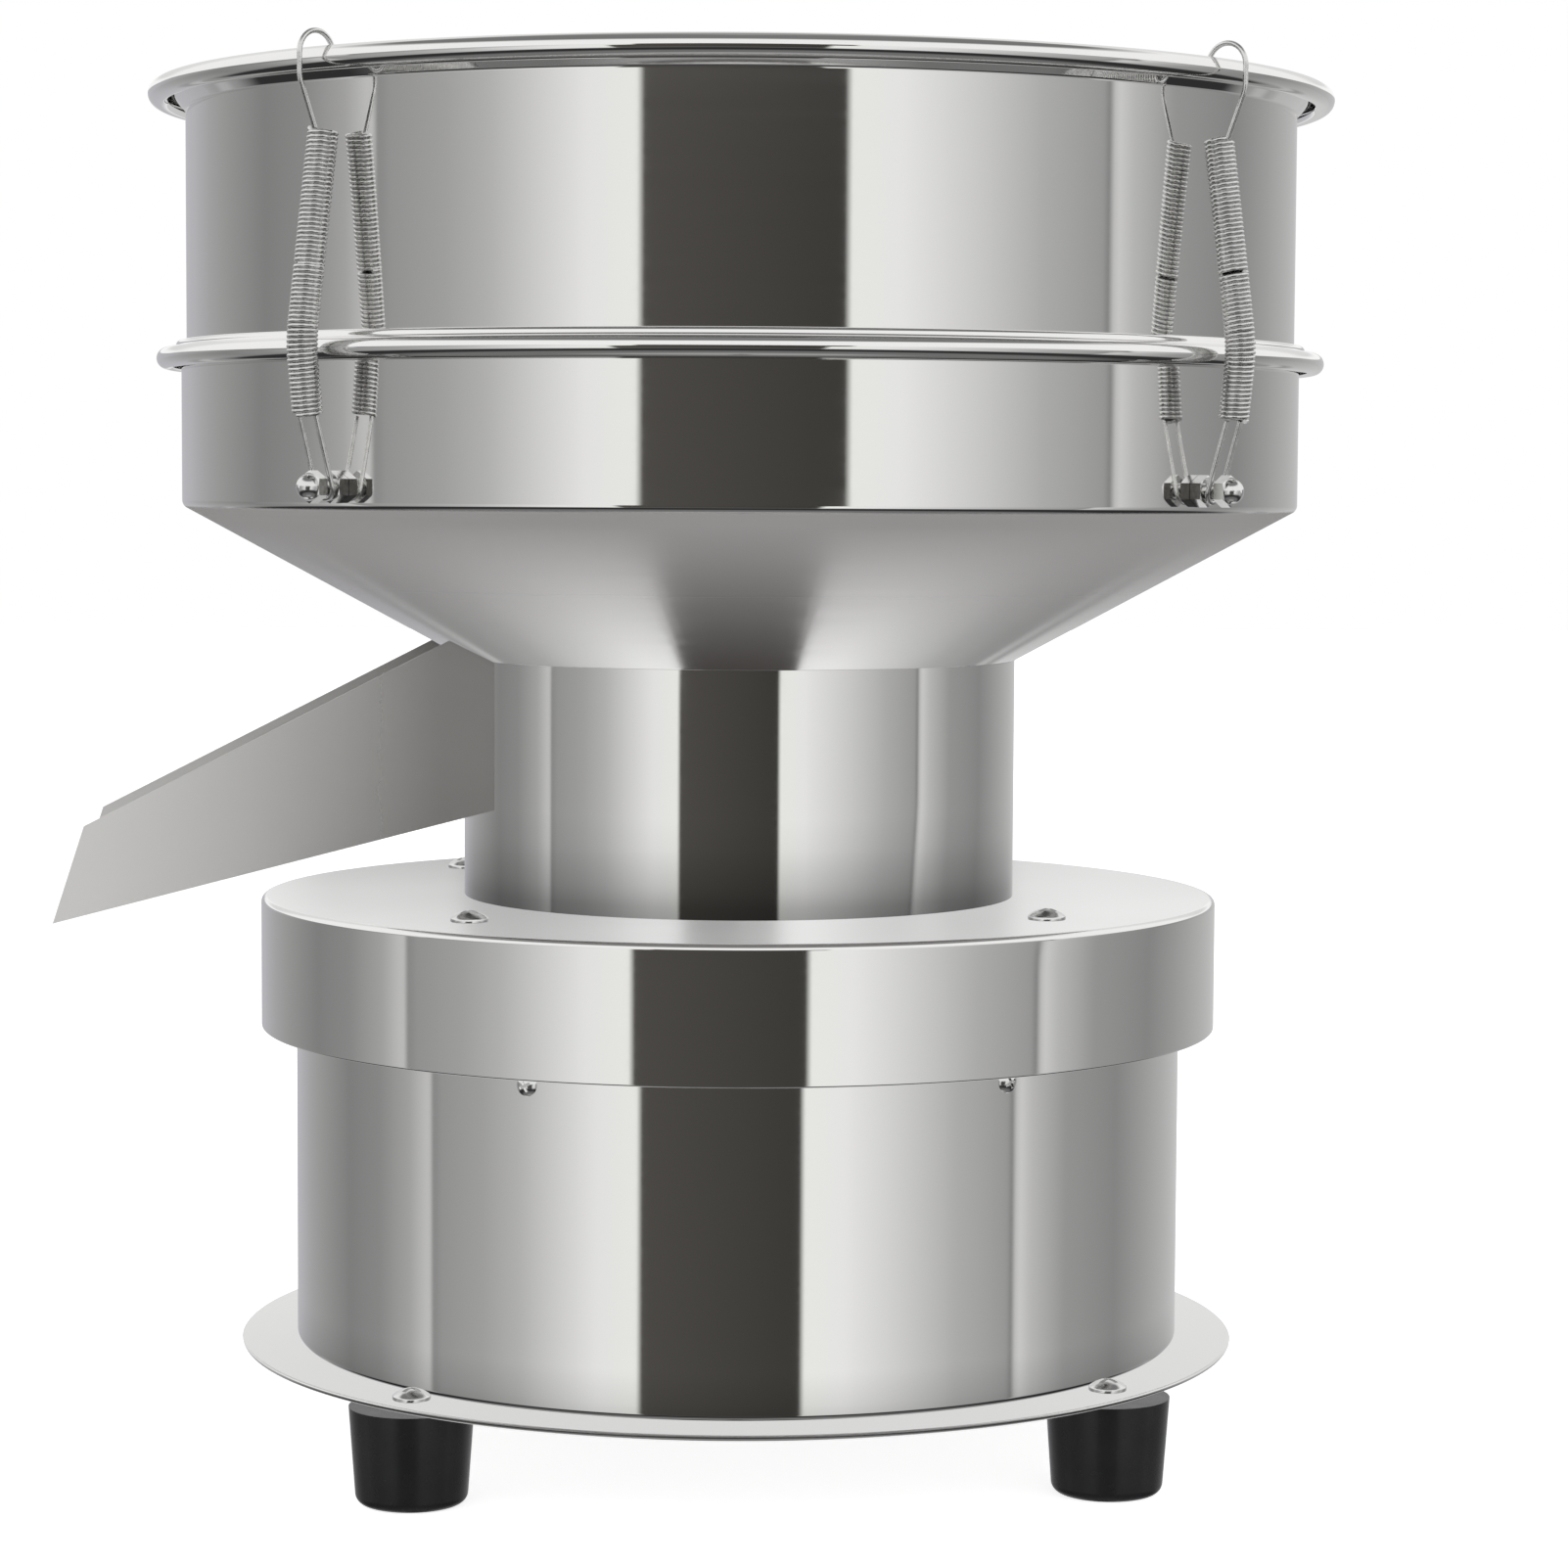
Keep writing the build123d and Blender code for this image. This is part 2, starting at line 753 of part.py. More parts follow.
def rim_hook():
    """Wire from the coil's top, up outside the rim, over it and down behind it."""
    inner_r = rim_mid_r - rim_r - wire_r - hook_rim_gap
    outer_r = inner_r + 2 * hook_arch_r
    arch_z = rim_z + rim_r - hook_arch_sink
    entry = (coil_top[0] + hook_entry, coil_top[1] - hook_entry_sink)
    knee = (outer_r, arch_z - hook_shank_drop)
    shank = FilletPolyline(at(*entry), at(*knee), at(outer_r, arch_z), radius=hook_bend_r)
    crown = at(outer_r - hook_arch_r, arch_z + hook_arch_r)
    arch = ThreePointArc(at(outer_r, arch_z), crown, at(inner_r, arch_z))
    tip = Line(at(inner_r, arch_z), at(inner_r, arch_z - hook_tip_depth))
    return pipe(route(shank, arch, tip), wire_r) - upper_coil()


save("latch_studs", *spread(latch_stud(), latch_count, latch_angle))
save("latch_nuts", *spread(latch_nut(), latch_count, latch_angle))
save("acorn_nuts", *spread(acorn_nut(), latch_count, latch_angle))
save("wire_loops", *spread(wire_loop(), latch_count, latch_angle))
save("lower_coils", *spread(lower_coil(), latch_count, latch_angle))
for number, turn in enumerate(spread(upper_coil(), latch_count, latch_angle), 1):
    save(f"upper_coil_{number}", turn)
for number, turn in enumerate(spread(rim_hook(), latch_count, latch_angle), 1):
    save(f"rim_hook_{number}", turn)


# Vibration motor: flange, frame, stator, bearings and fasteners

motor_top = cap_under - flange_t
motor_bottom = motor_top - motor_length
upper_bearing_z = motor_top - bearing_width
lower_bearing_z = motor_bottom
stator_mid = (motor_top + motor_bottom) / 2
stator_low = stator_mid - stator_length / 2
stator_high = stator_mid + stator_length / 2
pocket_r = bearing_r + bearing_pocket_t
shaft_hole_r = bearing_bore_r + shaft_hole_gap
spigot_r = motor_r - motor_wall - weld_gap


def motor_flange():
    body = turned(
        (shaft_hole_r, cap_under), (flange_r, cap_under), (flange_r, motor_top), (spigot_r, motor_top),
        (spigot_r, motor_top - spigot_depth), (pocket_r, motor_top - spigot_depth),
        (pocket_r, upper_bearing_z), (bearing_r, upper_bearing_z), (bearing_r, motor_top),
        (shaft_hole_r, motor_top))
    hole = Pos(motor_bolt_pitch_r, 0, 0) * drill(motor_bolt_r + thread_gap, motor_top, cap_under)
    for cut in spread(hole, motor_bolt_count, 0):
        body -= cut
    return body


def motor_frame():
    tube = disc_ring(motor_r, motor_r - motor_wall, motor_bottom, motor_top)
    rib = Box(rib_depth + rib_root, rib_width, motor_length - 2 * rib_end)
    rib = Pos(motor_r + (rib_depth - rib_root) / 2, 0, stator_mid) * rib
    for piece in spread(rib, motor_ribs, 180 / motor_ribs):
        tube += piece
    return tube


def motor_end_bell():
    return turned(
        (shaft_hole_r, motor_bottom - bell_t), (bell_face_r, motor_bottom - bell_t),
        (motor_r, motor_bottom - bell_edge), (motor_r, motor_bottom), (spigot_r, motor_bottom),
        (spigot_r, motor_bottom + spigot_depth), (pocket_r, motor_bottom + spigot_depth),
        (pocket_r, motor_bottom + bearing_width), (bearing_r, motor_bottom + bearing_width),
        (bearing_r, motor_bottom), (shaft_hole_r, motor_bottom))


def stator_core():
    return disc_ring(spigot_r, rotor_r + air_gap, stator_low, stator_high)


def winding(low, high):
    return disc_ring(motor_r - motor_wall - winding_inset, rotor_r + winding_inset, low, high)


def bearing(low):
    bore = bearing_bore_r + running_gap
    outer = bearing_r - weld_gap
    middle = (bearing_bore_r + bearing_r) / 2
    inner_edge = middle - bearing_shield_half
    outer_edge = middle + bearing_shield_half
    high = low + bearing_width
    under = low + bearing_shield_depth
    over = high - bearing_shield_depth
    return turned(
        (bore, low), (inner_edge, low), (inner_edge, under), (outer_edge, under), (outer_edge, low),
        (outer, low), (outer, high), (outer_edge, high), (outer_edge, over), (inner_edge, over),
        (inner_edge, high), (bore, high))


def motor_bolt():
    head = hexagon(motor_bolt_flats, motor_bolt_head_h, 0)
    shank = rod(motor_bolt_r, -motor_bolt_length, bolt_head_lap)
    return Pos(motor_bolt_pitch_r, 0, cap_top) * (head + shank)


def motor_nut():
    nut = hexagon(motor_bolt_flats, motor_bolt_head_h, motor_bolt_r + running_gap)
    return Pos(motor_bolt_pitch_r, 0, motor_top - motor_bolt_head_h) * nut


save("motor_flange", motor_flange())
save("motor_frame", motor_frame())
save("motor_end_bell", motor_end_bell())
save("stator_core", stator_core())
upper_winding = winding(stator_high, stator_high + winding_depth)
lower_winding = winding(stator_low - winding_depth, stator_low)
save("stator_windings", upper_winding, lower_winding)
save("motor_bearings", bearing(upper_bearing_z - weld_gap), bearing(lower_bearing_z + weld_gap))
save("motor_bolts", *spread(motor_bolt(), motor_bolt_count, 0))
save("motor_nuts", *spread(motor_nut(), motor_bolt_count, 0))


# Rotor: shaft, core and the two eccentric weights

shaft_top = cap_top + shaft_top_overhang
shaft_bottom = motor_bottom - bell_t - shaft_overhang
upper_weight_z = cap_top + weight_gap
lower_weight_z = motor_bottom - bell_t - weight_gap - weight_t


def rotor_shaft():
    journal = bearing_bore_r
    step = journal + shaft_shoulder
    levels = [
        lower_weight_z + weight_t + shaft_step_gap, lower_bearing_z + bearing_width + shaft_step_gap,
        upper_bearing_z - shaft_step_gap, upper_weight_z - shaft_step_gap]
    return turned(
        (0, shaft_bottom), (shaft_r, shaft_bottom), (shaft_r, levels[0]), (journal, levels[0]),
        (journal, levels[1]), (step, levels[1]), (step, levels[2]), (journal, levels[2]),
        (journal, levels[3]), (shaft_r, levels[3]), (shaft_r, shaft_top), (0, shaft_top))


def rotor_core():
    bore = bearing_bore_r + shaft_shoulder + running_gap
    return disc_ring(rotor_r, bore, stator_low, stator_high)


def eccentric_weight(low):
    middle = weight_t / 2
    cut_t = weight_t + 2 * cut_over
    half_disc = Pos(weight_r / 2, 0, middle) * Box(weight_r, 2 * weight_r, weight_t)
    weight = (rod(weight_r, 0, weight_t) & half_disc) + rod(weight_hub_r, 0, weight_t)
    weight -= drill(shaft_r + running_gap, 0, weight_t)
    weight -= Pos(-weight_hub_r / 2 - weight_slit_end, 0, middle) * Box(weight_hub_r, weight_slit, cut_t)
    cross_hole = Cylinder(weight_bolt_r + thread_gap, 3 * weight_hub_r)
    weight -= Pos(-weight_bolt_at, 0, middle) * Rot(90, 0, 0) * cross_hole
    flat = Box(2 * weight_bolt_at, 2 * wall_cut, cut_t)
    for side in (-1, 1):
        weight -= Pos(-weight_hub_r, side * (weight_flat_at + wall_cut), middle) * flat
    return Pos(0, 0, low) * weight


def weight_bolt(low):
    shank = Rot(-90, 0, 0) * rod(weight_bolt_r, -weight_flat_at - weight_bolt_grip, weight_flat_at)
    head = Pos(0, weight_flat_at, 0) * Rot(-90, 0, 0) * hexagon(nut_flats, weight_bolt_head_h, 0)
    return Pos(-weight_bolt_at, 0, low + weight_t / 2) * (shank + head)


save("rotor_shaft", rotor_shaft())
save("rotor_core", rotor_core())
save("upper_weight", eccentric_weight(upper_weight_z))
save("lower_weight", eccentric_weight(lower_weight_z))
save("weight_bolts", weight_bolt(upper_weight_z), weight_bolt(lower_weight_z))


# Rocker switch in the back of the housing

def switch_body():
    half_w = switch_width / 2
    half_h = switch_height / 2
    shell = Box(switch_depth + 2 * switch_lap, 2 * half_w, 2 * half_h)
    shell = Pos(switch_lap - switch_depth / 2, 0, 0) * shell
    bezel = Pos(bezel_t / 2, 0, 0) * Box(bezel_t, 2 * (half_w + bezel_margin), 2 * (half_h + bezel_margin))
    bezel = fillet(bezel.edges().filter_by(Axis.X), bezel_corner)
    depth = pocket_floor + rocker_pivot_back + cut_over
    pocket = Box(depth, 2 * (half_w - pocket_wall), 2 * (half_h - pocket_wall + pocket_play))
    pivot = Cylinder(rocker_pivot_r + rocker_pivot_gap, 2 * (half_w - body_gap))
    body = shell + bezel
    body -= Pos(bezel_t + cut_over - depth / 2, 0, 0) * pocket
    body -= Pos(bezel_t - rocker_pivot_back, 0, 0) * Rot(90, 0, 0) * pivot
    tab = Box(tab_length + pocket_play, tab_width, tab_t)
    for row in (-1, 0, 1):
        body += Pos(-switch_depth - tab_length / 2, 0, row * tab_pitch) * tab
    return body


def switch_rocker():
    half_w = switch_width / 2 - pocket_wall - body_gap
    half_h = switch_height / 2 - pocket_wall
    front = rocker_pivot_back - rocker_set_back
    lip = (front + rocker_lip, half_h - rocker_lip_end)
    back = (switch_lap, half_h - rocker_back_end)
    profile = outline(
        (front, 0), lip, back, (-rocker_belly, rocker_belly), (-rocker_belly, -rocker_belly),
        (back[0], -back[1]), (lip[0], -lip[1]))
    body = extrude(profile, half_w, both=True)
    pins = Rot(90, 0, 0) * Cylinder(rocker_pivot_r, switch_width - 2 * rocker_pin_end)
    return Pos(bezel_t - rocker_pivot_back, 0, 0) * Rot(0, -rocker_tilt, 0) * (body + pins)


def on_housing(piece, angle, height):
    """Places a piece modelled about the origin, +X outwards, on the housing's wall."""
    return Rot(0, 0, angle) * Pos(housing_r, 0, height) * piece


save("switch_body", on_housing(switch_body(), switch_angle, switch_z))
save("switch_rocker", on_housing(switch_rocker(), switch_angle, switch_z))


# Cable gland and the electrical pieces on the base plate

def gland_body():
    sleeve = rod(gland_thread_r, -gland_inside, gland_hex_t / 2)
    collar = hexagon(gland_hex_flats, gland_hex_t, 0)
    return Rot(0, 90, 0) * (sleeve + collar - drill(cable_r, -gland_inside, gland_hex_t))


def gland_cap():
    top = gland_hex_t + gland_cap_length
    shoulder = at(gland_cap_r, top - gland_cap_round)
    rim = at(cable_r + gland_cap_rim, top)
    bulge = at(gland_cap_r * gland_bulge_out, top - gland_cap_round * gland_bulge_back)
    side = Polyline(at(cable_r, gland_hex_t), at(gland_cap_r, gland_hex_t), shoulder)
    mouth = Polyline(rim, at(cable_r, top), at(cable_r, gland_hex_t))
    return Rot(0, 90, 0) * revolve(bounded(side, ThreePointArc(shoulder, bulge, rim), mouth), Axis.Z)


def gland_nut():
    nut = hexagon(gland_hex_flats, gland_nut_t, gland_thread_r + running_gap)
    bore = housing_r - housing_wall
    back = bore - math.sqrt(bore ** 2 - (gland_hex_flats / math.sqrt(3)) ** 2)
    return Pos(-housing_wall - back - gland_nut_t, 0, 0) * Rot(0, 90, 0) * nut


def capacitor():
    stud_low = plate_top - capacitor_stud_length
    top = plate_top + capacitor_height
    can = turned(
        (0, stud_low), (capacitor_stud_r, stud_low), (capacitor_stud_r, plate_top), (capacitor_r, plate_top),
        (capacitor_r, top - capacitor_edge), (capacitor_r - capacitor_edge, top), (0, top))
    return Rot(0, 0, capacitor_angle) * Pos(capacitor_pitch_r, 0, 0) * can


def capacitor_nut():
    nut = hexagon(capacitor_nut_flats, capacitor_nut_t, capacitor_stud_r + running_gap)
    return Rot(0, 0, capacitor_angle) * Pos(capacitor_pitch_r, 0, foot_height - capacitor_nut_t) * nut


def terminal_block():
    block = Box(terminal_width, terminal_length, terminal_height)
    screw_hole = Cylinder(terminal_screw_r, terminal_height)
    screw_hole = Pos(0, 0, terminal_height - terminal_screw_depth) * screw_hole
    wire_hole = Cylinder(terminal_wire_r, terminal_width + 2 * cut_over)
    wire_hole = Pos(0, 0, -terminal_wire_drop) * Rot(0, 90, 0) * wire_hole
    for way in range(terminal_ways):
        y = (way - (terminal_ways - 1) / 2) * terminal_pitch
        block -= Pos(0, y, 0) * screw_hole
        block -= Pos(0, y, 0) * wire_hole
    place = Rot(0, 0, terminal_angle) * Pos(terminal_pitch_r, 0, plate_top + terminal_height / 2)
    return place * block


save("cable_gland", on_housing(gland_body(), gland_angle, gland_z))
save("gland_cap", on_housing(gland_cap(), gland_angle, gland_z))
save("gland_nut", on_housing(gland_nut(), gland_angle, gland_z))
save("capacitor", capacitor())
save("capacitor_nut", capacitor_nut())
save("terminal_block", terminal_block())
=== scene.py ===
import json
import math

import bpy
from mathutils import Matrix, Vector


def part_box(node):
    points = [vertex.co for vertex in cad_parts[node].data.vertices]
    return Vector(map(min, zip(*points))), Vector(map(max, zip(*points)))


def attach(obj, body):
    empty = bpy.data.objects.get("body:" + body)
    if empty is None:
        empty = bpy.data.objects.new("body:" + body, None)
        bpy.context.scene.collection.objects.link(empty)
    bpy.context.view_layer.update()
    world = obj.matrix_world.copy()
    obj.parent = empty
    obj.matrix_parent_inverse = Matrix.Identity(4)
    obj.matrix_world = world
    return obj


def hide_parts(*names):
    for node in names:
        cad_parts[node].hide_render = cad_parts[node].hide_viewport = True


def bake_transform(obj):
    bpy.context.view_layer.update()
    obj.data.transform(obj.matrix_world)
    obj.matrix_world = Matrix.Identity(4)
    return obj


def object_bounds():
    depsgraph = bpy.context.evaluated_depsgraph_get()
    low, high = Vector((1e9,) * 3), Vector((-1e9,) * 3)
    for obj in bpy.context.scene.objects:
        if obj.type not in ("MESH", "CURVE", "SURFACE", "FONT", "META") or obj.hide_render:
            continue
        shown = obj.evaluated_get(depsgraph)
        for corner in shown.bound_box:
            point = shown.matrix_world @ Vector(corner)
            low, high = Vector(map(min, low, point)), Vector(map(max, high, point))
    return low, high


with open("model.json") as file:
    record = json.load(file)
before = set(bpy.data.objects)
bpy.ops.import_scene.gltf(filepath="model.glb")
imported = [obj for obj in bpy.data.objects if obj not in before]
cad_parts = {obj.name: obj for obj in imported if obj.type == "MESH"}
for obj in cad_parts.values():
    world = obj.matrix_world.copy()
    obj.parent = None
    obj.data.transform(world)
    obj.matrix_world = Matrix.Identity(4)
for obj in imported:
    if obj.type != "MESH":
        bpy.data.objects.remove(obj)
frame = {"nodes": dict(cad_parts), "record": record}
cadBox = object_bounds()
nodes = frame["nodes"]
drumLow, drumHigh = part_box("sieve_drum")
axisX = (drumLow.x + drumHigh.x) / 2        # everything round turns about this upright line
print("frame loaded:", len(nodes), "nodes")


# shader recipes

class Flow:
    # a value in a node tree; an expression on it adds its Math nodes
    def __init__(self, tree, socket):
        self.tree = tree
        self.socket = socket

    def compute(self, operation, *values):
        node = self.tree.nodes.new("ShaderNodeMath")
        node.operation = operation
        for place, value in zip(node.inputs, values):
            if isinstance(value, Flow):
                self.tree.links.new(value.socket, place)
            else:
                place.default_value = value
        return Flow(self.tree, node.outputs[0])

    def __add__(self, other):
        return self.compute("ADD", self, other)

    def __radd__(self, other):
        return self.compute("ADD", other, self)

    def __sub__(self, other):
        return self.compute("SUBTRACT", self, other)

    def __rsub__(self, other):
        return self.compute("SUBTRACT", other, self)

    def __mul__(self, other):
        return self.compute("MULTIPLY", self, other)

    def __rmul__(self, other):
        return self.compute("MULTIPLY", other, self)

    def __truediv__(self, other):
        return self.compute("DIVIDE", self, other)

    def __abs__(self):
        return self.compute("ABSOLUTE", self)

    def clamped(self):
        limited = self.compute("ADD", self, 0.0)
        limited.socket.node.use_clamp = True
        return limited


class Recipe:
    # the node tree of a material or of the world
    def __init__(self, tree):
        self.tree = tree
        tree.nodes.clear()

    def add(self, kind, settings=None, sockets=None, output=0):
        node = self.tree.nodes.new(kind)
        for name, value in (settings or {}).items():
            if name == "stops":
                layStops(node.color_ramp, value)
            else:
                setattr(node, name, value)
        for name, value in (sockets or {}).items():
            if isinstance(value, Flow):
                self.tree.links.new(value.socket, node.inputs[name])
            else:
                node.inputs[name].default_value = value
        return Flow(self.tree, node.outputs[output]) if node.outputs else None

    def mixed(self, share, first, second):
        return self.add("ShaderNodeMix", {"data_type": "RGBA"}, {0: share, 6: first, 7: second}, 2)

    def ramp(self, value, stops):
        return self.add("ShaderNodeValToRGB", {"stops": stops}, {"Fac": value})


def layStops(ramp, stops):
    while len(ramp.elements) > 1:
        ramp.elements.remove(ramp.elements[-1])
    for number, (position, shade) in enumerate(stops):
        element = ramp.elements[0] if number == 0 else ramp.elements.new(position)
        element.position = position
        element.color = (*tone(shade), 1)


def tone(shade):
    return shade if isinstance(shade, tuple) else (shade, shade, shade)


def noise(recipe, place, scale, detail=2.0, stretch=(1, 1, 1)):
    stretched = recipe.add("ShaderNodeMapping", sockets={"Vector": place, "Scale": stretch})
    return recipe.add("ShaderNodeTexNoise", sockets={"Vector": stretched, "Scale": scale, "Detail": detail})


def along(recipe, place, axis):
    # one coordinate on the object: 0 is across, 2 is the height
    parts = recipe.add("ShaderNodeSeparateXYZ", sockets={"Vector": place})
    return Flow(recipe.tree, parts.socket.node.outputs[axis])


def past(value, limit, width):
    # 0 up to a limit, then up to 1 over a width; a width below nought turns it round
    return ((value - limit) / width).clamped()


def between(recipe, place, axis, start, end):
    # 0 to 1 along one axis of the object
    return past(along(recipe, place, axis), start, end - start)


matteRoughness = 0.75        # of the brushing that a veil lays over the polish


def finish(name, colour, roughness, metallic=0.0, relief=None, constants=None, veil=None):
    # colour, roughness and relief are numbers, colours or functions that lay their nodes in the recipe
    material = bpy.data.materials.new(name)
    material.use_nodes = True
    recipe = Recipe(material.node_tree)
    place = recipe.add("ShaderNodeTexCoord", output="Object")
    sockets = dict(constants or {})
    sockets["Base Color"] = colour(recipe, place) if callable(colour) else (*colour, 1)
    sockets["Roughness"] = roughness(recipe, place) if callable(roughness) else roughness
    sockets["Metallic"] = metallic
    if relief:
        height, depth = relief(recipe, place)
        sockets["Normal"] = recipe.add(
            "ShaderNodeBump", sockets={"Height": height, "Strength": 1.0, "Distance": depth})
    shader = recipe.add("ShaderNodeBsdfPrincipled", sockets=sockets)
    if veil:        # matte brushing over the polish, and how much of it shows; on the cone its dark colour is also painted shade
        shade, cover = veil
        matte = recipe.add(
            "ShaderNodeBsdfPrincipled", sockets={"Base Color": (*shade, 1), "Roughness": matteRoughness})
        shader = recipe.add("ShaderNodeMixShader", sockets={0: cover(recipe, place), 1: shader, 2: matte})
    recipe.add("ShaderNodeOutputMaterial", sockets={"Surface": shader})
    return material


# finishes

steel = {
    "light": (0.90, 0.895, 0.885),
    "dull": (0.85, 0.845, 0.835),
    "gloss": 0.03,
    "haze": 0.035,
    "waveScale": 7.0,
    "waveDepth": 0.000012,
    "polishScale": 9.0,
    "polishStretch": (1, 1, 70),
    "brushedScale": 14.0,
    "brushedStretch": (1, 1, 40),
    "brushedGrain": 0.06,
    "zoneEdge": 0.0006,        # height over which a brushed zone begins and ends
    "zoneMargin": 0.01,        # how far a zone runs on past the faces that it covers
}
paintedFootShade = (        # painted shade: height above the plate's top and above the cap's, and how light the wall is painted there
    ((0, 0.70), (0.004, 0.84), (0.012, 1.0)),
    ((-0.002, 1.0), (0, 0.40), (0.003, 0.46), (0.008, 0.66), (0.018, 0.92), (0.026, 1.0)),
)


def steelColour(recipe, place):
    return recipe.mixed(noise(recipe, place, steel["waveScale"]), (*steel["dull"], 1), (*steel["light"], 1))


def steelWithPaintedShade(recipe, place):
    # painted shade: the walls are darkened towards the cap and the plate that they stand on, where contact
    # shadow falls
    whole = cadBox[1][2]
    stops = []
    for floor, shades in zip((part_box("base_plate")[1].z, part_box("cap")[1].z), paintedFootShade):
        stops += [((floor + rise) / whole, share) for rise, share in shades]
    shade = recipe.ramp(along(recipe, place, 2) / whole, stops)
    return recipe.mixed(shade, (0, 0, 0, 1), steelColour(recipe, place))


def steelHaze(low=None, high=None, lowHaze=0.0, highHaze=0.0):
    # mirror polish, with a brushed zone between two heights that may coarsen upwards
    def lay(recipe, place):
        polish = noise(recipe, place, steel["polishScale"], 4.0, steel["polishStretch"])
        haze = steel["gloss"] + polish * steel["haze"]
        if high is None:
            return haze
        height = along(recipe, place, 2)
        inside = past(height, low, steel["zoneEdge"]) * past(high - height, 0, steel["zoneEdge"])
        grain = noise(recipe, place, steel["brushedScale"], 4.0, steel["brushedStretch"])
        brushed = lowHaze + past(height, low, high - low) * (highHaze - lowHaze)
        return haze + inside * (brushed + grain * steel["brushedGrain"])
    return lay


def steelWaves(recipe, place):
    # sheet that was rolled round is never quite true, so its reflections waver a little
    return noise(recipe, place, steel["waveScale"], 1.0), steel["waveDepth"]


def speckled(dark, light, scale):
    def lay(recipe, place):
        return recipe.mixed(noise(recipe, place, scale, 3.0), (*dark, 1), (*light, 1))
    return lay


def varied(low, high, scale, stretch=(1, 1, 1)):
    def lay(recipe, place):
        return low + noise(recipe, place, scale, 3.0, stretch) * (high - low)
    return lay


def grained(scale, depth, stretch=(1, 1, 1)):
    def lay(recipe, place):
        return noise(recipe, place, scale, 3.0, stretch), depth
    return lay


satin = {        # the chute's finish, from its root at the neck to its lip
    "root": -0.070,
    "lip": -0.165,
    "rootHaze": 0.22,
    "lipHaze": 0.50,
    "grainScale": 40,
    "grainStretch": (1, 6, 6),
    "grain": 0.015,
    "matte": (0.82, 0.815, 0.80),
    "rootMatte": 0.12,
    "lipMatte": 0.30,
}


def satinHaze(recipe, place):
    # the chute is polished brighter where it meets the neck
    share = between(recipe, place, 0, satin["root"], satin["lip"])
    grain = noise(recipe, place, satin["grainScale"], 3.0, satin["grainStretch"]) * satin["grain"]
    return satin["rootHaze"] + share * (satin["lipHaze"] - satin["rootHaze"]) + grain


def satinVeil(recipe, place):
    share = between(recipe, place, 0, satin["root"], satin["lip"])
    return satin["rootMatte"] + share * (satin["lipMatte"] - satin["rootMatte"])


finishes = {
    # the mirror steel's colour carries the painted shade at the walls' feet
    "mirror_steel": finish("polishedSteelWithPaintedShade", steelWithPaintedShade, steelHaze(), 1.0, steelWaves),
    "satin_steel": finish(
        "satinSteel", speckled((0.84, 0.83, 0.815), (0.90, 0.89, 0.875), 30), satinHaze, 1.0,
        grained(60, 0.000006, (1, 12, 12)), veil=(satin["matte"], satinVeil)),
    "bright_screws": finish(
        "platedScrews", speckled((0.70, 0.70, 0.69), (0.86, 0.86, 0.85), 400), varied(0.10, 0.24, 900), 1.0),
    "spring_steel": finish(
        "springWire", speckled((0.58, 0.58, 0.57), (0.97, 0.97, 0.96), 420), varied(0.20, 0.36, 500), 1.0),
    "woven_mesh": finish(
        "meshWire", speckled((0.58, 0.58, 0.57), (0.80, 0.80, 0.79), 300), varied(0.22, 0.38, 700), 1.0),
    "black_rubber": finish(
        "mouldedRubber", speckled((0.008, 0.008, 0.009), (0.016, 0.016, 0.017), 90),
        varied(0.20, 0.32, 300), 0.0, grained(1500, 0.000015), {"Specular IOR Level": 0.28}),
    "white_silicone": finish(
        "siliconeSeal", speckled((0.72, 0.72, 0.70), (0.80, 0.80, 0.78), 60), varied(0.38, 0.52, 200),
        0.0, None, {"Subsurface Weight": 0.1, "Subsurface Scale": 0.002}),
    "motor_casting": finish(
        "castAluminium", speckled((0.46, 0.47, 0.48), (0.60, 0.61, 0.62), 120), varied(0.42, 0.62, 260),
        1.0, grained(900, 0.00012)),
    "ground_steel": finish(
        "groundSteel", speckled((0.50, 0.50, 0.49), (0.64, 0.64, 0.63), 180),
        varied(0.18, 0.34, 60, (1, 1, 40)), 1.0),
    "core_steel": finish(
        "laminatedCore", speckled((0.20, 0.20, 0.21), (0.34, 0.34, 0.34), 150), varied(0.40, 0.60, 200),
        1.0, grained(60, 0.0002, (1, 1, 40))),
    "copper_wire": finish(
        "enamelledCopper", speckled((0.50, 0.19, 0.07), (0.68, 0.30, 0.13), 220), varied(0.22, 0.40, 300),
        1.0, grained(60, 0.0003, (1, 1, 12))),
    "black_plastic": finish(
        "blackNylon", speckled((0.012, 0.012, 0.013), (0.024, 0.024, 0.025), 140), varied(0.32, 0.48, 400),
        0.0, grained(2200, 0.00002)),
    "white_plastic": finish(
        "whiteNylon", speckled((0.66, 0.66, 0.63), (0.76, 0.76, 0.74), 100), varied(0.34, 0.50, 300),
        0.0, grained(1800, 0.00002)),
}
for entry in frame["record"]["subparts"]:
    node = nodes[entry["node"]]
    if not node.material_slots:
        node.data.materials.append(None)
    for materialSlot in node.material_slots:
        materialSlot.material = finishes[entry["material_slot"]]
mirroredWords = ("clamp", "mesh", "latch", "acorn", "loops", "coil", "hook", "seat", "seal")
for name, node in nodes.items():        # the steel mirrors the studio and these nodes, not the others
    node.visible_glossy = any(word in name for word in mirroredWords)
print("finishes:", len(finishes))


# modelling helpers

weld = {"sheet": 0.000002, "wire": 0.000001}        # points nearer to each other than this become one


def deselectAll():
    if bpy.context.object and bpy.context.object.mode != "OBJECT":
        bpy.ops.object.mode_set(mode="OBJECT")
    bpy.ops.object.select_all(action="DESELECT")


def pick(piece):
    deselectAll()
    piece.select_set(True)
    bpy.context.view_layer.objects.active = piece


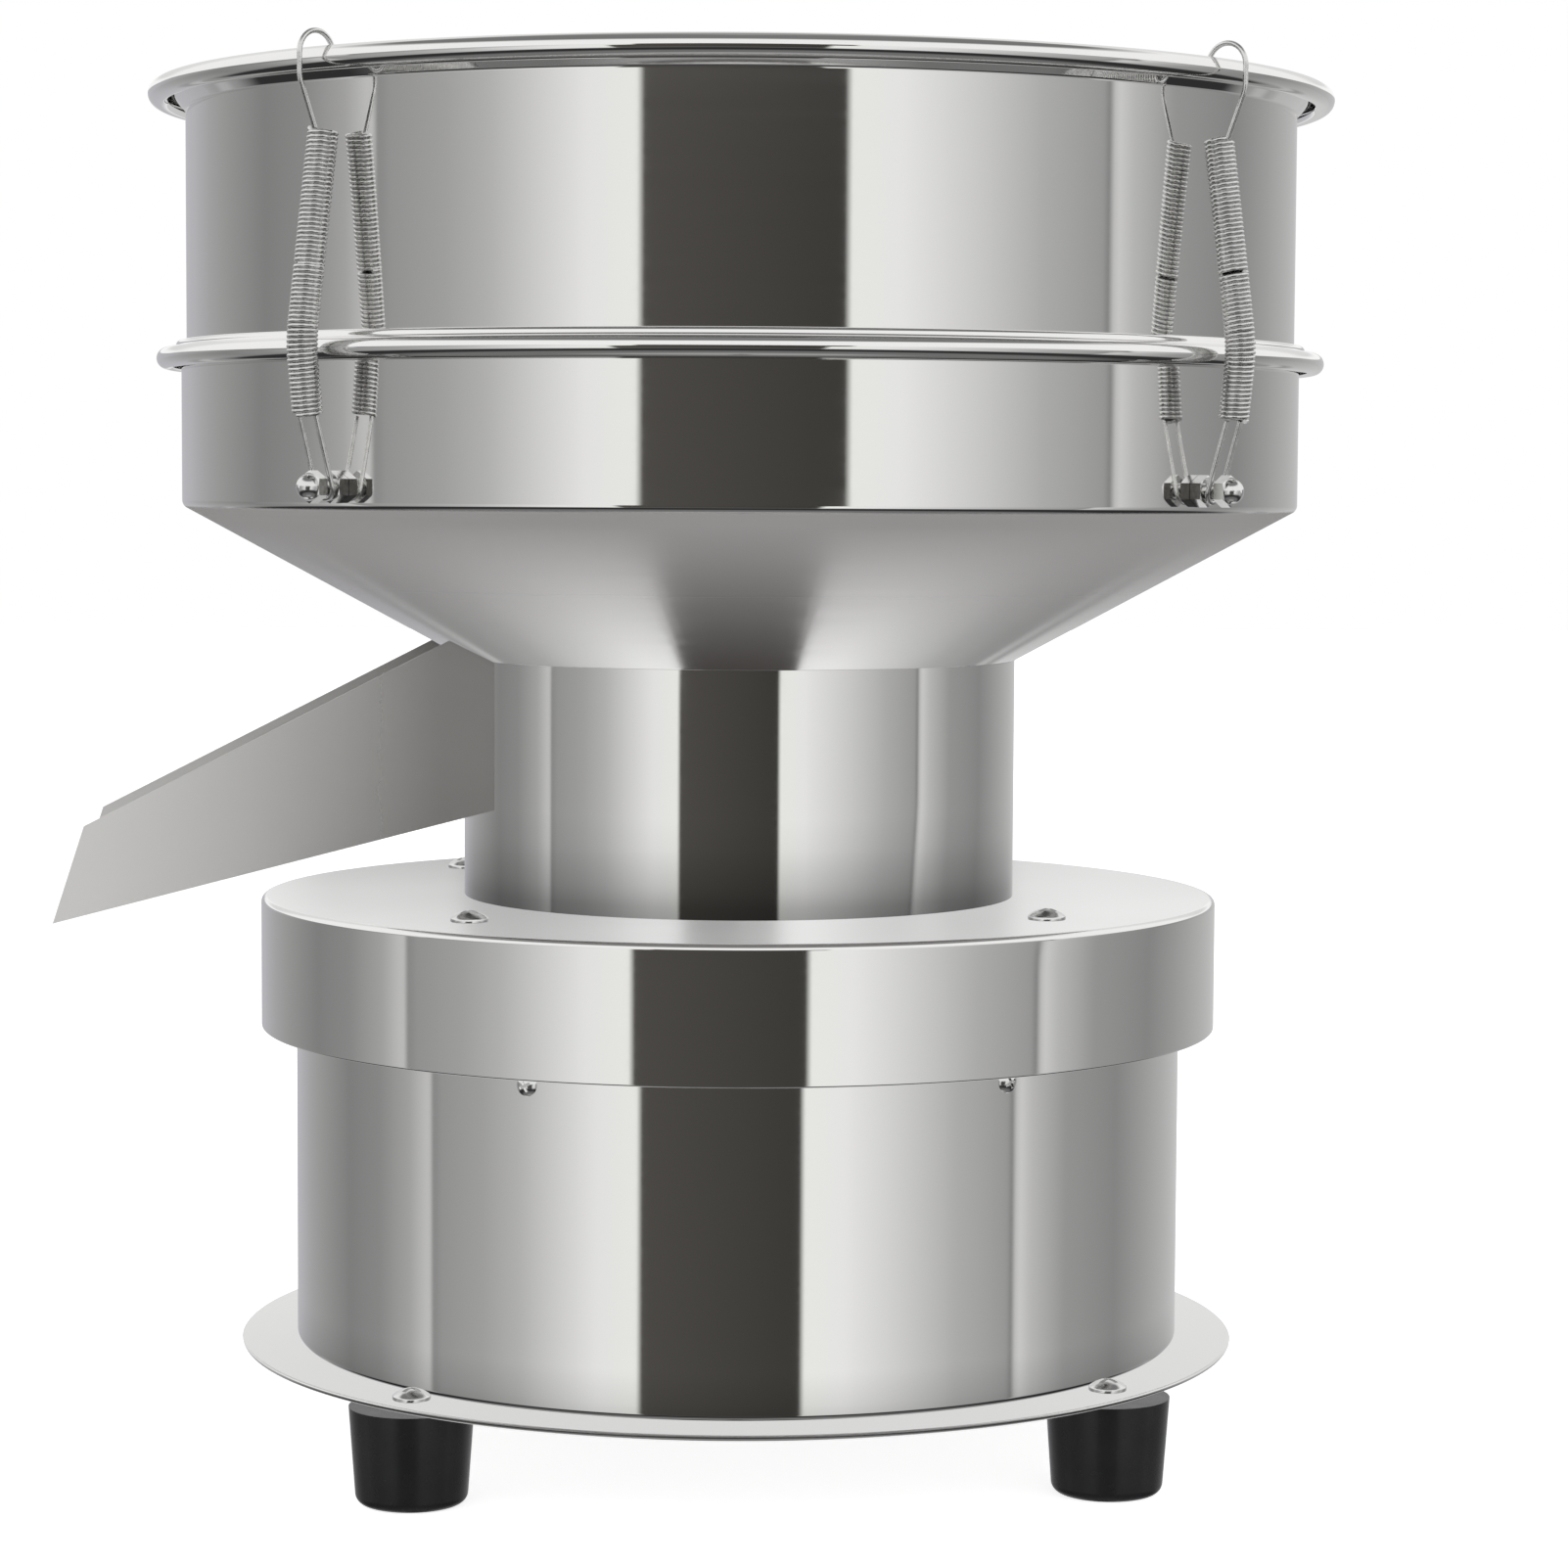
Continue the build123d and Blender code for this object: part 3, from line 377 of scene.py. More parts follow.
def arc(centre, radius, start, end, steps):
    # points round a centre given as radius and height, from one angle to another in degrees
    points = []
    for step in range(steps + 1):
        angle = math.radians(start + (end - start) * step / steps)
        points.append((centre[0] + radius * math.cos(angle), centre[1] + radius * math.sin(angle)))
    return points


def bend(before, corner, after, radius, steps=6):
    # an arc that rounds the corner between two straight runs
    toward = (Vector(before) - Vector(corner)).normalized()
    away = (Vector(after) - Vector(corner)).normalized()
    half = toward.angle(away) / 2
    middle = Vector(corner) + (toward + away).normalized() * radius / math.sin(half)
    start = Vector(corner) + toward * radius / math.tan(half) - middle
    finishPoint = Vector(corner) + away * radius / math.tan(half) - middle
    sweep = start.angle_signed(finishPoint)
    return [tuple(middle + Matrix.Rotation(-sweep * step / steps, 2) @ start) for step in range(steps + 1)]


def sheet(path, wall):
    # closes a path into the outline of sheet metal whose thickness lies to the path's left
    far = []
    for number, point in enumerate(path):
        before = path[max(number - 1, 0)]
        after = path[min(number + 1, len(path) - 1)]
        sides = []
        for start, end in ((before, point), (point, after)):
            run = Vector(end) - Vector(start)
            if run.length > 0:
                sides.append(Vector((-run.y, run.x)).normalized())
        offset = sum(sides, Vector((0, 0))) / len(sides)
        offset = offset * wall / offset.length_squared
        far.append((point[0] + offset.x, point[1] + offset.y))
    return list(path) + far[::-1]


def lathe(name, outline, steps=240, centre=None):
    # draws a closed outline point by point and spins it round an upright axis, the machine's without a centre
    middle = Vector(centre) if centre else Vector((axisX, 0, 0))
    deselectAll()
    bpy.ops.mesh.primitive_plane_add(size=0.001, location=(0, 0, 0))
    piece = bpy.context.object
    piece.name = name
    bpy.ops.object.mode_set(mode="EDIT")
    bpy.ops.mesh.select_all(action="SELECT")
    bpy.ops.mesh.merge(type="CENTER")
    points = [middle + Vector((radius, 0, height)) for radius, height in outline]
    bpy.ops.transform.translate(value=points[0])
    for before, after in zip(points, points[1:] + points[:1]):
        bpy.ops.mesh.extrude_region_move(TRANSFORM_OT_translate={"value": after - before})
    bpy.ops.mesh.select_all(action="SELECT")
    bpy.ops.mesh.remove_doubles(threshold=weld["sheet"])
    bpy.ops.mesh.spin(steps=steps, angle=2 * math.pi, center=middle, axis=(0, 0, 1))
    bpy.ops.mesh.select_all(action="SELECT")
    bpy.ops.mesh.remove_doubles(threshold=weld["sheet"])
    bpy.ops.mesh.normals_make_consistent(inside=False)
    bpy.ops.object.mode_set(mode="OBJECT")
    return piece


def softenEdges(piece, width, angle=40, segments=2):
    pick(piece)
    modifier = piece.modifiers.new("edges", "BEVEL")
    modifier.width = width
    modifier.segments = segments
    modifier.limit_method = "ANGLE"
    modifier.angle_limit = math.radians(angle)
    modifier.harden_normals = False
    bpy.ops.object.modifier_apply(modifier=modifier.name)


def cutAway(piece, cutters):
    for cutter in cutters:
        pick(piece)
        modifier = piece.modifiers.new("cut", "BOOLEAN")
        modifier.operation = "DIFFERENCE"
        modifier.solver = "EXACT"
        modifier.object = cutter
        bpy.ops.object.modifier_apply(modifier=modifier.name)
        bpy.data.objects.remove(cutter)


def block(size, place):
    # a plain box to cut with
    deselectAll()
    bpy.ops.mesh.primitive_cube_add(size=1, location=(0, 0, 0))
    box = bpy.context.object
    box.data.transform(Matrix.Translation(place) @ Matrix.Diagonal((*size, 1)))
    return box


def wireAlong(name, routes, radius, sides=8):
    # round wire along each list of points, as one mesh
    curve = bpy.data.curves.new(name, "CURVE")
    curve.dimensions = "3D"
    curve.bevel_depth = radius
    curve.bevel_resolution = (sides - 4) // 2
    curve.use_fill_caps = True
    for points in routes:
        spline = curve.splines.new("POLY")
        spline.points.add(len(points) - 1)
        for target, point in zip(spline.points, points):
            target.co = (*point, 1)
    piece = bpy.data.objects.new(name, curve)
    bpy.context.scene.collection.objects.link(piece)
    pick(piece)
    bpy.ops.object.convert(target="MESH")
    piece = bpy.context.object
    bpy.ops.object.mode_set(mode="EDIT")
    bpy.ops.mesh.select_all(action="SELECT")
    bpy.ops.mesh.remove_doubles(threshold=weld["wire"])
    bpy.ops.mesh.normals_make_consistent(inside=False)
    bpy.ops.object.mode_set(mode="OBJECT")
    return piece


def copies(master, name, matrices):
    # one mesh holding the master at each place; the master goes
    made = []
    for matrix in matrices:
        mesh = master.data.copy()
        mesh.transform(matrix)
        copy = bpy.data.objects.new(name, mesh)
        bpy.context.scene.collection.objects.link(copy)
        made.append(copy)
    pick(made[0])
    for copy in made:
        copy.select_set(True)
    bpy.ops.object.join()
    bpy.data.objects.remove(master)
    made[0].name = name
    return made[0]


def around(radius, angle, height):
    return Vector((
        axisX + radius * math.cos(math.radians(angle)), radius * math.sin(math.radians(angle)), height))


def evenly(count, first, radius, height, lay=None):
    # places spread round the axis, each with +X turned outwards, and then laid over where lay is given
    turned = []
    for number in range(count):
        angle = first + number * 360 / count
        facing = Matrix.Rotation(math.radians(angle), 4, "Z")
        matrix = Matrix.Translation(around(radius, angle, height)) @ facing
        turned.append(matrix @ lay if lay else matrix)
    return turned


def settle(piece, slot, *replaced, smooth=32, own=None, mirrored=True):
    # last touches on a finished piece: the slot's finish or its own, shading, hiding the nodes it stands for
    # and whether the steel mirrors it
    pick(piece)
    bpy.ops.object.shade_smooth_by_angle(angle=math.radians(smooth))
    if slot == "mirror_steel":        # wide sheet faces keep their own direction beside narrow bends
        modifier = piece.modifiers.new("normals", "WEIGHTED_NORMAL")
        modifier.keep_sharp = True
        bpy.ops.object.modifier_apply(modifier=modifier.name)
    piece.data.materials.clear()
    piece.data.materials.append(own or finishes[slot])        # own is a finish that only this piece has
    piece.visible_glossy = mirrored
    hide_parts(*replaced)
    return piece


# sieve drum: turned-in flange, wall, flare and rolled rim from one sheet

drum = {
    "wall": 0.001,
    "outer": 0.1498,
    "flangeBore": 0.1398,
    "footBend": 0.0018,
    "rimRadius": 0.003,
    "flareBend": 0.0012,
    "curlStart": 135,        # degrees, where the 45 degree flare meets the rolled rim
    "curlEnd": -148,
    "edge": 0.0002,
}


def makeDrum():
    rim = ((drumHigh.x - drumLow.x) / 2 - drum["rimRadius"], drumHigh.z - drum["rimRadius"])
    inside = drum["rimRadius"] - drum["wall"]
    low = drumLow.z
    curl = arc(rim, inside, drum["curlStart"], drum["curlEnd"], steps=30)
    flare = (drum["outer"], curl[0][1] - (curl[0][0] - drum["outer"]))        # where it leaves the wall
    path = [(drum["flangeBore"], low)]
    path += bend(path[0], (drum["outer"], low), flare, drum["footBend"])
    path += bend((drum["outer"], low), flare, curl[0], drum["flareBend"], steps=8)
    path += curl
    piece = lathe("sieveDrum", sheet(path, drum["wall"]))
    softenEdges(piece, drum["edge"])
    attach(settle(piece, "mirror_steel", "sieve_drum"), "sieve")


makeDrum()
print("sieve drum")


# funnel body: cone, lower drum and wired edge from one sheet

funnel = {
    "wall": 0.001,
    "neckRadius": 0.0753,
    "outer": 0.1512,
    "coneTop": 0.2527,
    "shoulder": 0.0024,
    "topDrop": 0.0005,
    "lipRadius": 0.0012,        # the sheet turns over at the top, then runs out and round the wire
    "valley": 0.0017,
    "beadRadius": 0.0028,
    "beadDrop": 0.0047,
    "curlStart": 100,
    "curlEnd": -128,
    "edge": 0.0002,
    "coneHaze": 0.10,
    # the matte's dark colour is partly painted shade at the cone's top
    "matte": (0.25, 0.244, 0.241),
    "matteRise": (0.2125, 0.2495),        # heights between which the matte brushing and its painted shade come in
    "matteEnd": (0.2522, 0.2527),        # and between which it gives way to the wall's polish
}


def coneVeilWithPaintedShade(recipe, place):
    # brushed matte, partly painted shade, at the cone's top; polished at its foot
    rise = between(recipe, place, 2, *funnel["matteRise"])
    return rise * (1 - between(recipe, place, 2, *funnel["matteEnd"]))


def makeFunnel():
    low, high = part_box("funnel_body")
    top = high.z - funnel["topDrop"]
    lip = (funnel["outer"] - funnel["wall"] + funnel["lipRadius"], top - funnel["lipRadius"])
    valley = (lip[0] + funnel["lipRadius"] - funnel["wall"] + funnel["valley"], lip[1])
    bead = ((high.y - low.y) / 2 - funnel["beadRadius"], top - funnel["beadDrop"])
    corner = (funnel["outer"], funnel["coneTop"])
    path = [(funnel["neckRadius"], low.z)]
    path += bend(path[0], corner, (corner[0], lip[1]), funnel["shoulder"])
    path += arc(lip, funnel["lipRadius"] - funnel["wall"], 180, 0, steps=16)
    path += arc(valley, funnel["valley"], 180, 180 + funnel["curlStart"], steps=12)[1:]
    path += arc(bead, funnel["beadRadius"] - funnel["wall"], funnel["curlStart"], funnel["curlEnd"], steps=36)
    piece = lathe("funnelBody", sheet(path, funnel["wall"]))
    softenEdges(piece, funnel["edge"])
    haze = steelHaze(low.z, corner[1], 0.0, funnel["coneHaze"])
    # the cone's finish carries painted shade at its top
    brushedConeWithPaintedShade = finish(
        "brushedConeWithPaintedShade", steelColour, haze, 1.0, steelWaves, veil=(funnel["matte"], coneVeilWithPaintedShade))
    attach(settle(piece, "mirror_steel", "funnel_body", own=brushedConeWithPaintedShade), "deck")


makeFunnel()
print("funnel body")


# skirted cap, base housing and base plate

def boxRadius(name):
    low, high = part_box(name)
    return (high.y - low.y) / 2


cap = {
    "wall": 0.0012,
    "edge": 0.0016,
    "softEdge": 0.0005,
    "holeRadius": 0.048,
    "topHaze": 0.04,
    "topDepth": 0.0008,        # the brushing ends this far below the top
}


def makeCap():
    low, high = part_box("cap")
    outer = boxRadius("cap")
    corner = (outer, high.z)
    path = [(outer, low.z)]
    path += bend(path[0], corner, (cap["holeRadius"], high.z), cap["edge"])
    path.append((cap["holeRadius"], high.z))
    piece = lathe("skirtedCap", sheet(path, cap["wall"]))
    softenEdges(piece, cap["softEdge"], segments=3)
    haze = steelHaze(high.z - cap["topDepth"], high.z + steel["zoneMargin"], cap["topHaze"], cap["topHaze"])
    brushedTop = finish("brushedCapTop", steelColour, haze, 1.0, steelWaves)
    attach(settle(piece, "mirror_steel", "cap", own=brushedTop, mirrored=False), "deck")


housing = {
    "wall": 0.0012,
    "foot": 0.0015,
    "flange": 0.0132,
    "windowGap": 0.003,        # how much wider and taller than the rocker its window is
    "windowDepth": 0.02,
}


def makeHousing():
    low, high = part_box("base_housing")
    outer = boxRadius("base_housing")
    corner = (outer, low.z)
    path = [(outer - housing["flange"], low.z)]
    path += bend(path[0], corner, (outer, high.z), housing["foot"])
    path.append((outer, high.z))
    piece = lathe("baseHousing", sheet(path, housing["wall"]))
    switchLow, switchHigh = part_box("switch_body")
    rockerLow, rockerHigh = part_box("switch_rocker")
    width = rockerHigh.x - rockerLow.x + housing["windowGap"]
    tall = rockerHigh.z - rockerLow.z + housing["windowGap"]
    middle = Vector((axisX, outer, (switchLow.z + switchHigh.z) / 2))
    cutAway(piece, [block((width, housing["windowDepth"], tall), middle)])
    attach(settle(piece, "mirror_steel", "base_housing", mirrored=False), "base")


plate = {"edge": 0.0004, "underEdge": 0.0011, "haze": 0.10}


def makePlate():
    low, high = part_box("base_plate")
    outer = boxRadius("base_plate")
    edge = plate["edge"]
    outline = [(0, low.z)] + bend((0, low.z), (outer, low.z), (outer, high.z), plate["underEdge"])
    outline.append((outer, high.z - edge))
    outline += [(outer - edge, high.z), (0, high.z)]
    piece = lathe("basePlate", outline)
    margin = steel["zoneMargin"]
    haze = steelHaze(low.z - margin, high.z + margin, plate["haze"], plate["haze"])
    brushedPlate = finish("brushedPlate", steelColour, haze, 1.0, steelWaves)
    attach(settle(piece, "mirror_steel", "base_plate", smooth=50, own=brushedPlate, mirrored=False), "base")


makeCap()
makeHousing()
makePlate()
print("cap, housing and plate")


# screws with domed heads and cross recesses

capScrew = {
    "head": 0.0049,
    "height": 0.0029,
    "brim": 0.0009,
    "recess": 0.0056,
    "slot": 0.0011,
    "depth": 0.0016,
    "shank": 0.011,
    "count": 4,
    "first": 45,        # degrees round the machine
    "pitchRadius": 0.1055,
}
footScrew = {**capScrew, "shank": 0.018, "pitchRadius": 0.1265}
wallScrew = {
    "head": 0.00275,
    "height": 0.0018,
    "brim": 0.0005,
    "recess": 0.0032,
    "slot": 0.0007,
    "depth": 0.0010,
    "shank": 0.006,
    "count": 6,
    "first": 0,
    "turn": 25,        # degrees, so that no cross stands straight
}
shankShare = 0.5        # of the head's radius
slotEdge = 0.12        # of the slot's width


def crossScrew(name, size):
    rise = size["height"] - size["brim"]
    ball = (size["head"] ** 2 + rise ** 2) / (2 * rise)
    reach = math.degrees(math.asin(size["head"] / ball))
    shank = size["head"] * shankShare
    outline = [(0, -size["shank"]), (shank, -size["shank"]), (shank, 0), (size["head"], 0)]
    outline += arc((0, size["height"] - ball), ball, 90 - reach, 90, steps=10)
    piece = lathe(name, outline, steps=40, centre=(0, 0, 0))
    top = Vector((0, 0, size["height"]))
    cutAway(piece, [
        block((size["recess"], size["slot"], 2 * size["depth"]), top),
        block((size["slot"], size["recess"], 2 * size["depth"]), top)])
    softenEdges(piece, size["slot"] * slotEdge, angle=35, segments=1)
    return piece


def screwRow(name, node, size, radius, height, lay=None):
    places = evenly(size["count"], size["first"], radius, height, lay)
    row = copies(crossScrew("screwHead", size), name, places)
    return settle(row, "bright_screws", node, mirrored=False)


def makeScrews():
    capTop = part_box("cap")[1].z
    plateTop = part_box("base_plate")[1].z
    wallRadius = boxRadius("base_housing")
    wallHeight = sum(corner.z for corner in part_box("housing_screws")) / 2
    turn = Matrix.Rotation(math.radians(wallScrew["turn"]), 4, "Z")
    outwards = Matrix.Rotation(math.radians(90), 4, "Y") @ turn
    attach(screwRow("capScrews", "cap_screws", capScrew, capScrew["pitchRadius"], capTop), "deck")
    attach(screwRow("footScrews", "foot_screws", footScrew, footScrew["pitchRadius"], plateTop), "base")
    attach(screwRow("wallScrews", "housing_screws", wallScrew, wallRadius, wallHeight, outwards), "base")


makeScrews()
print("screws")


# rubber feet

foot = {        # radii, and how deep the nut's recess is from below
    "top": 0.016,
    "bottom": 0.0142,
    "edge": 0.0028,
    "recess": 0.007,
    "recessDepth": 0.013,
    "hole": 0.0026,
}


def makeFeet():
    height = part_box("rubber_feet")[1].z
    side = (foot["bottom"], 0)
    outline = [(foot["hole"], foot["recessDepth"]), (foot["hole"], height), (foot["top"], height)]
    outline += bend((foot["top"], height), side, (foot["recess"], 0), foot["edge"], steps=8)
    outline += [(foot["recess"], 0), (foot["recess"], foot["recessDepth"])]
    master = lathe("footMaster", outline, steps=64, centre=(0, 0, 0))
    places = evenly(footScrew["count"], footScrew["first"], footScrew["pitchRadius"], 0)
    feet = copies(master, "rubberFeet", places)
    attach(settle(feet, "black_rubber", "rubber_feet", mirrored=False), "base")


makeFeet()
print("feet")


# hold-down springs: close-wound coils bent over the wired edge, each in a lower and an upper half

latchAngles = (45, 135, 225, 315)
coil = {
    "outer": 0.0039,
    "wire": 0.00058,
    "low": (0.1617, 0.2757),        # the middle line's ends and crest, as distance from the axis and height
    "crest": (0.1637, 0.2933),
    "top": (0.1562, 0.3447),
    "seam": 0.3117,
    "seamGap": 0.0002,
    "bend": 0.040,
    "perTurn": 14,
    "lay": 0.96,        # turns pressed together
}


def coilLine(fraction):
    # the coil's middle line from its low end to its top, with its direction; fraction runs from 0 to 1
    low, crest, top = (Vector(coil[name]) for name in ("low", "crest", "top"))
    line = [low] + [Vector(point) for point in bend(low, crest, top, coil["bend"], steps=12)] + [top]
    lengths = [(after - before).length for before, after in zip(line, line[1:])]
    left = fraction * sum(lengths)
    for before, after, length in zip(line, line[1:], lengths):
        if left <= length:
            break
        left -= length
    direction = (after - before).normalized()
    return before + direction * left, direction


def seamFraction():
    # the fraction at which the middle line reaches the seam's height
    low, high = 0.0, 1.0
    for halving in range(30):
        middle = (low + high) / 2
        if coilLine(middle)[0].y < coil["seam"]:
            low = middle
        else:
            high = middle
    return low


def coilTurns(start, end, angle):
    # a close-wound helix between two fractions of the middle line
    low, crest, top = (Vector(coil[name]) for name in ("low", "crest", "top"))
    whole = (crest - low).length + (top - crest).length
    turns = (end - start) * whole / (2 * coil["wire"] * coil["lay"])
    count = int(turns * coil["perTurn"])
    radius = coil["outer"] - coil["wire"]
    outward = Vector((math.cos(math.radians(angle)), math.sin(math.radians(angle)), 0))
    sideways = Vector((-outward.y, outward.x, 0))
    points = []
    for number in range(count + 1):
        middle, direction = coilLine(start + (end - start) * number / count)
        across = outward * direction.y - Vector((0, 0, direction.x))
        phase = 2 * math.pi * number / coil["perTurn"]
        centre = Vector((axisX, 0, 0)) + outward * middle.x + Vector((0, 0, middle.y))
        points.append(centre + (across * math.cos(phase) + sideways * math.sin(phase)) * radius)
    return points


def makeCoils():
    whole = coil["top"][1] - coil["low"][1]
    seam = seamFraction()
    gap = coil["seamGap"] / whole
    lower = wireAlong("lowerCoils", [coilTurns(0, seam - gap, angle) for angle in latchAngles], coil["wire"])
    settle(lower, "spring_steel", "lower_coils", smooth=60)
    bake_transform(lower)
    for number, angle in enumerate(latchAngles, 1):
        upper = wireAlong(f"upperCoil_{number}", [coilTurns(seam, 1, angle)], coil["wire"])
        settle(upper, "spring_steel", f"upper_coil_{number}", smooth=60)
        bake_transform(upper)


makeCoils()
print("hold-down springs")


# springs under the cap

rideSpring = {
    "radius": 0.009,
    "wire": 0.001,
    "turns": 5.5,
    "perTurn": 24,
    "flat": 0.12,        # share of the wire that lies flat at each end
    "pitchRadius": 0.1055,
}


def makeRideSprings():
    low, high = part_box("ride_springs")
    base = low.z + rideSpring["wire"]
    rise = high.z - low.z - 2 * rideSpring["wire"]
    count = int(rideSpring["turns"] * rideSpring["perTurn"])
    radius = rideSpring["radius"]
    routes = []
    for angle in latchAngles:
        middle = around(rideSpring["pitchRadius"], angle, base)
        points = []
        for number in range(count + 1):
            share = number / count
            climb = min(max((share - rideSpring["flat"]) / (1 - 2 * rideSpring["flat"]), 0), 1)
            phase = 2 * math.pi * rideSpring["turns"] * share
            points.append(middle + Vector((radius * math.cos(phase), radius * math.sin(phase), rise * climb)))
        routes.append(points)
    springs = wireAlong("rideSprings", routes, rideSpring["wire"])
    settle(springs, "spring_steel", "ride_springs", smooth=60, mirrored=False)
    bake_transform(springs)


makeRideSprings()
print("ride springs")


# woven sieve mesh

weave = {
    "pitch": 0.0026,
    "wire": 0.00028,
    "wave": 0.00022,
    "reach": 0.1458,
    "fewest": 2,        # crossings either side of the middle, or the wire is left out
}


def makeMesh():
    low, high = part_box("sieve_mesh")
    level = (low.z + high.z) / 2
    most = int(weave["reach"] / weave["pitch"])
    routes = []
    for warp in (0, 1):
        for row in range(-most, most + 1):
            across = row * weave["pitch"]
            half = math.sqrt(weave["reach"] ** 2 - across ** 2)
            last = int(half / weave["pitch"])
            if last < weave["fewest"]:
                continue
            points = []
            for step in range(-last, last + 1):
                side = 1 if (step + row + warp) % 2 else -1
                run = step * weave["pitch"]
                x, y = (run, across) if warp else (across, run)
                points.append(Vector((axisX + x, y, level + side * weave["wave"])))
            routes.append(points)
    mesh = wireAlong("wovenMesh", routes, weave["wire"], sides=4)
    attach(settle(mesh, "woven_mesh", "sieve_mesh", smooth=60), "sieve")


makeMesh()
print("woven mesh")


# studio: white surround, soft panels with a dark gap behind the camera, pale floor

studio = {
    "panels": [        # azimuth from the camera's side, left negative, and the light that comes from there
        (-180, 0.12), (-174.5, 0.12), (-173, 0.85), (-168, (0.50, 0.495, 0.52)), (-152, (0.47, 0.465, 0.49)),
        (-132, 0.35), (-112, 0.235), (-98, 0.275), (-86, 0.40), (-80, 0.56), (-78.4, 0.56), (-77.2, 0.24),
        (-75.4, 0.32), (-61, 0.39), (-51, 0.49), (-31, 0.86), (-20.6, (0.90, 0.91, 0.88)),
        (-19.8, (0.080, 0.075, 0.068)), (19.8, (0.050, 0.047, 0.043)), (20.6, (0.90, 0.91, 0.88)), (31, 0.88),
        (61, 0.46), (75.8, 0.35), (77.4, 0.24), (79.2, 0.68), (84, 0.52), (96, 0.33), (117, 0.26),
        (142, 0.42), (174, 0.60)],
    "heights": [        # elevation, and the light from there where no panels stand
        (-90, 0.35), (-80, 0.35), (-70, 0.17), (-56, 0.17), (-45, 0.03), (-30, 0.03), (-22, 0.3), (7, 0.95),
        (44, 0.95), (54, 0.20), (90, 0.20)],
    "panelShare": [(-90, 0.0), (-30, 0.0), (-22, 1.0), (6.4, 1.0), (7.2, 0.0), (90, 0.0)],
    # how many degrees the panels are turned above one elevation and below another, and those two elevations
    "middleTurn": (0.6, -4.2, -1.0, -2.6),
    "leftTurn": (0, -6.2, -1.0, -2.6),
    "rightTurn": (1.1, -3.4, -4.5, -6.5),
    "sideStart": 30,        # azimuth from which a side's turn takes over, and over how much
    "sideWidth": 30,
    "rearHeights": [        # elevation, and the light from there on the far side of the machine
        (-90, 0.35), (-80, 0.35), (-74, 0.06), (-68, 0.08), (-60, 0.92), (-50, 0.90), (-45, 0.70),
        (-36, 0.42), (-28, 0.31), (-24.5, 0.30), (-23.5, 0.50), (-21.5, 0.46), (-20.5, 0.32), (-8, 0.28),
        (3, 0.97), (9, 0.97), (12, 0.74), (14, 0.74), (30, 0.8), (50, 0.8), (60, 0.33), (90, 0.33)],
    "rearStart": 140,        # azimuth, either way, at which that light begins, and over how much
    "rearWidth": 10,
    "rearBelow": (17, 3),        # degrees under the horizon at which it begins there, and over how much
    "rearAbove": (5, 0.6),        # and over the horizon
    "rearCore": (0.068, 0.063, 0.060),        # a dark spot straight behind and below
    "rearCoreStart": 170.8,
    "rearCoreWidth": 0.6,
    "rearCoreTop": -38,
    "rearCoreDrop": 4,
    "paintedNeckReflection": [        # painted reflection of the neck, as the cap's top shows it, by azimuth from the far side
        (-3.9, 0.89), (-3.6, 0.56), (-3.0, 0.55), (-2.2, 0.64), (-1.8, 0.73), (-1.4, 0.88), (-0.8, 0.95),
        (-0.7, 0.36), (0.5, 0.35), (0.6, 0.92), (1.0, 0.93), (1.8, 0.69), (2.2, 0.62), (2.6, 0.69),
        (3.0, 0.55), (3.6, 0.58), (3.9, 0.89)],
    "neckSides": 5,        # azimuth either way from the far side at which it ends, and the elevation
    "neckTop": 9,
    "neckFade": 1,
    "neckSpan": 10,        # azimuth either way that its ramp reaches
    "floorTone": (0.86, 0.86, 0.86),
    "floorRoughness": 0.9,
    "floorGlow": 0.80,
    "floorSize": 12.0,
}
view = {
    "place": (-0.084, -1.143, 0.261),        # from the drum's axis on the floor
    "heading": 4.82,
    "pitch": -4.2,
    "roll": 0.3,
    "lens": 95.95,
    "sensor": 36,
    "nearest": 0.01,
}


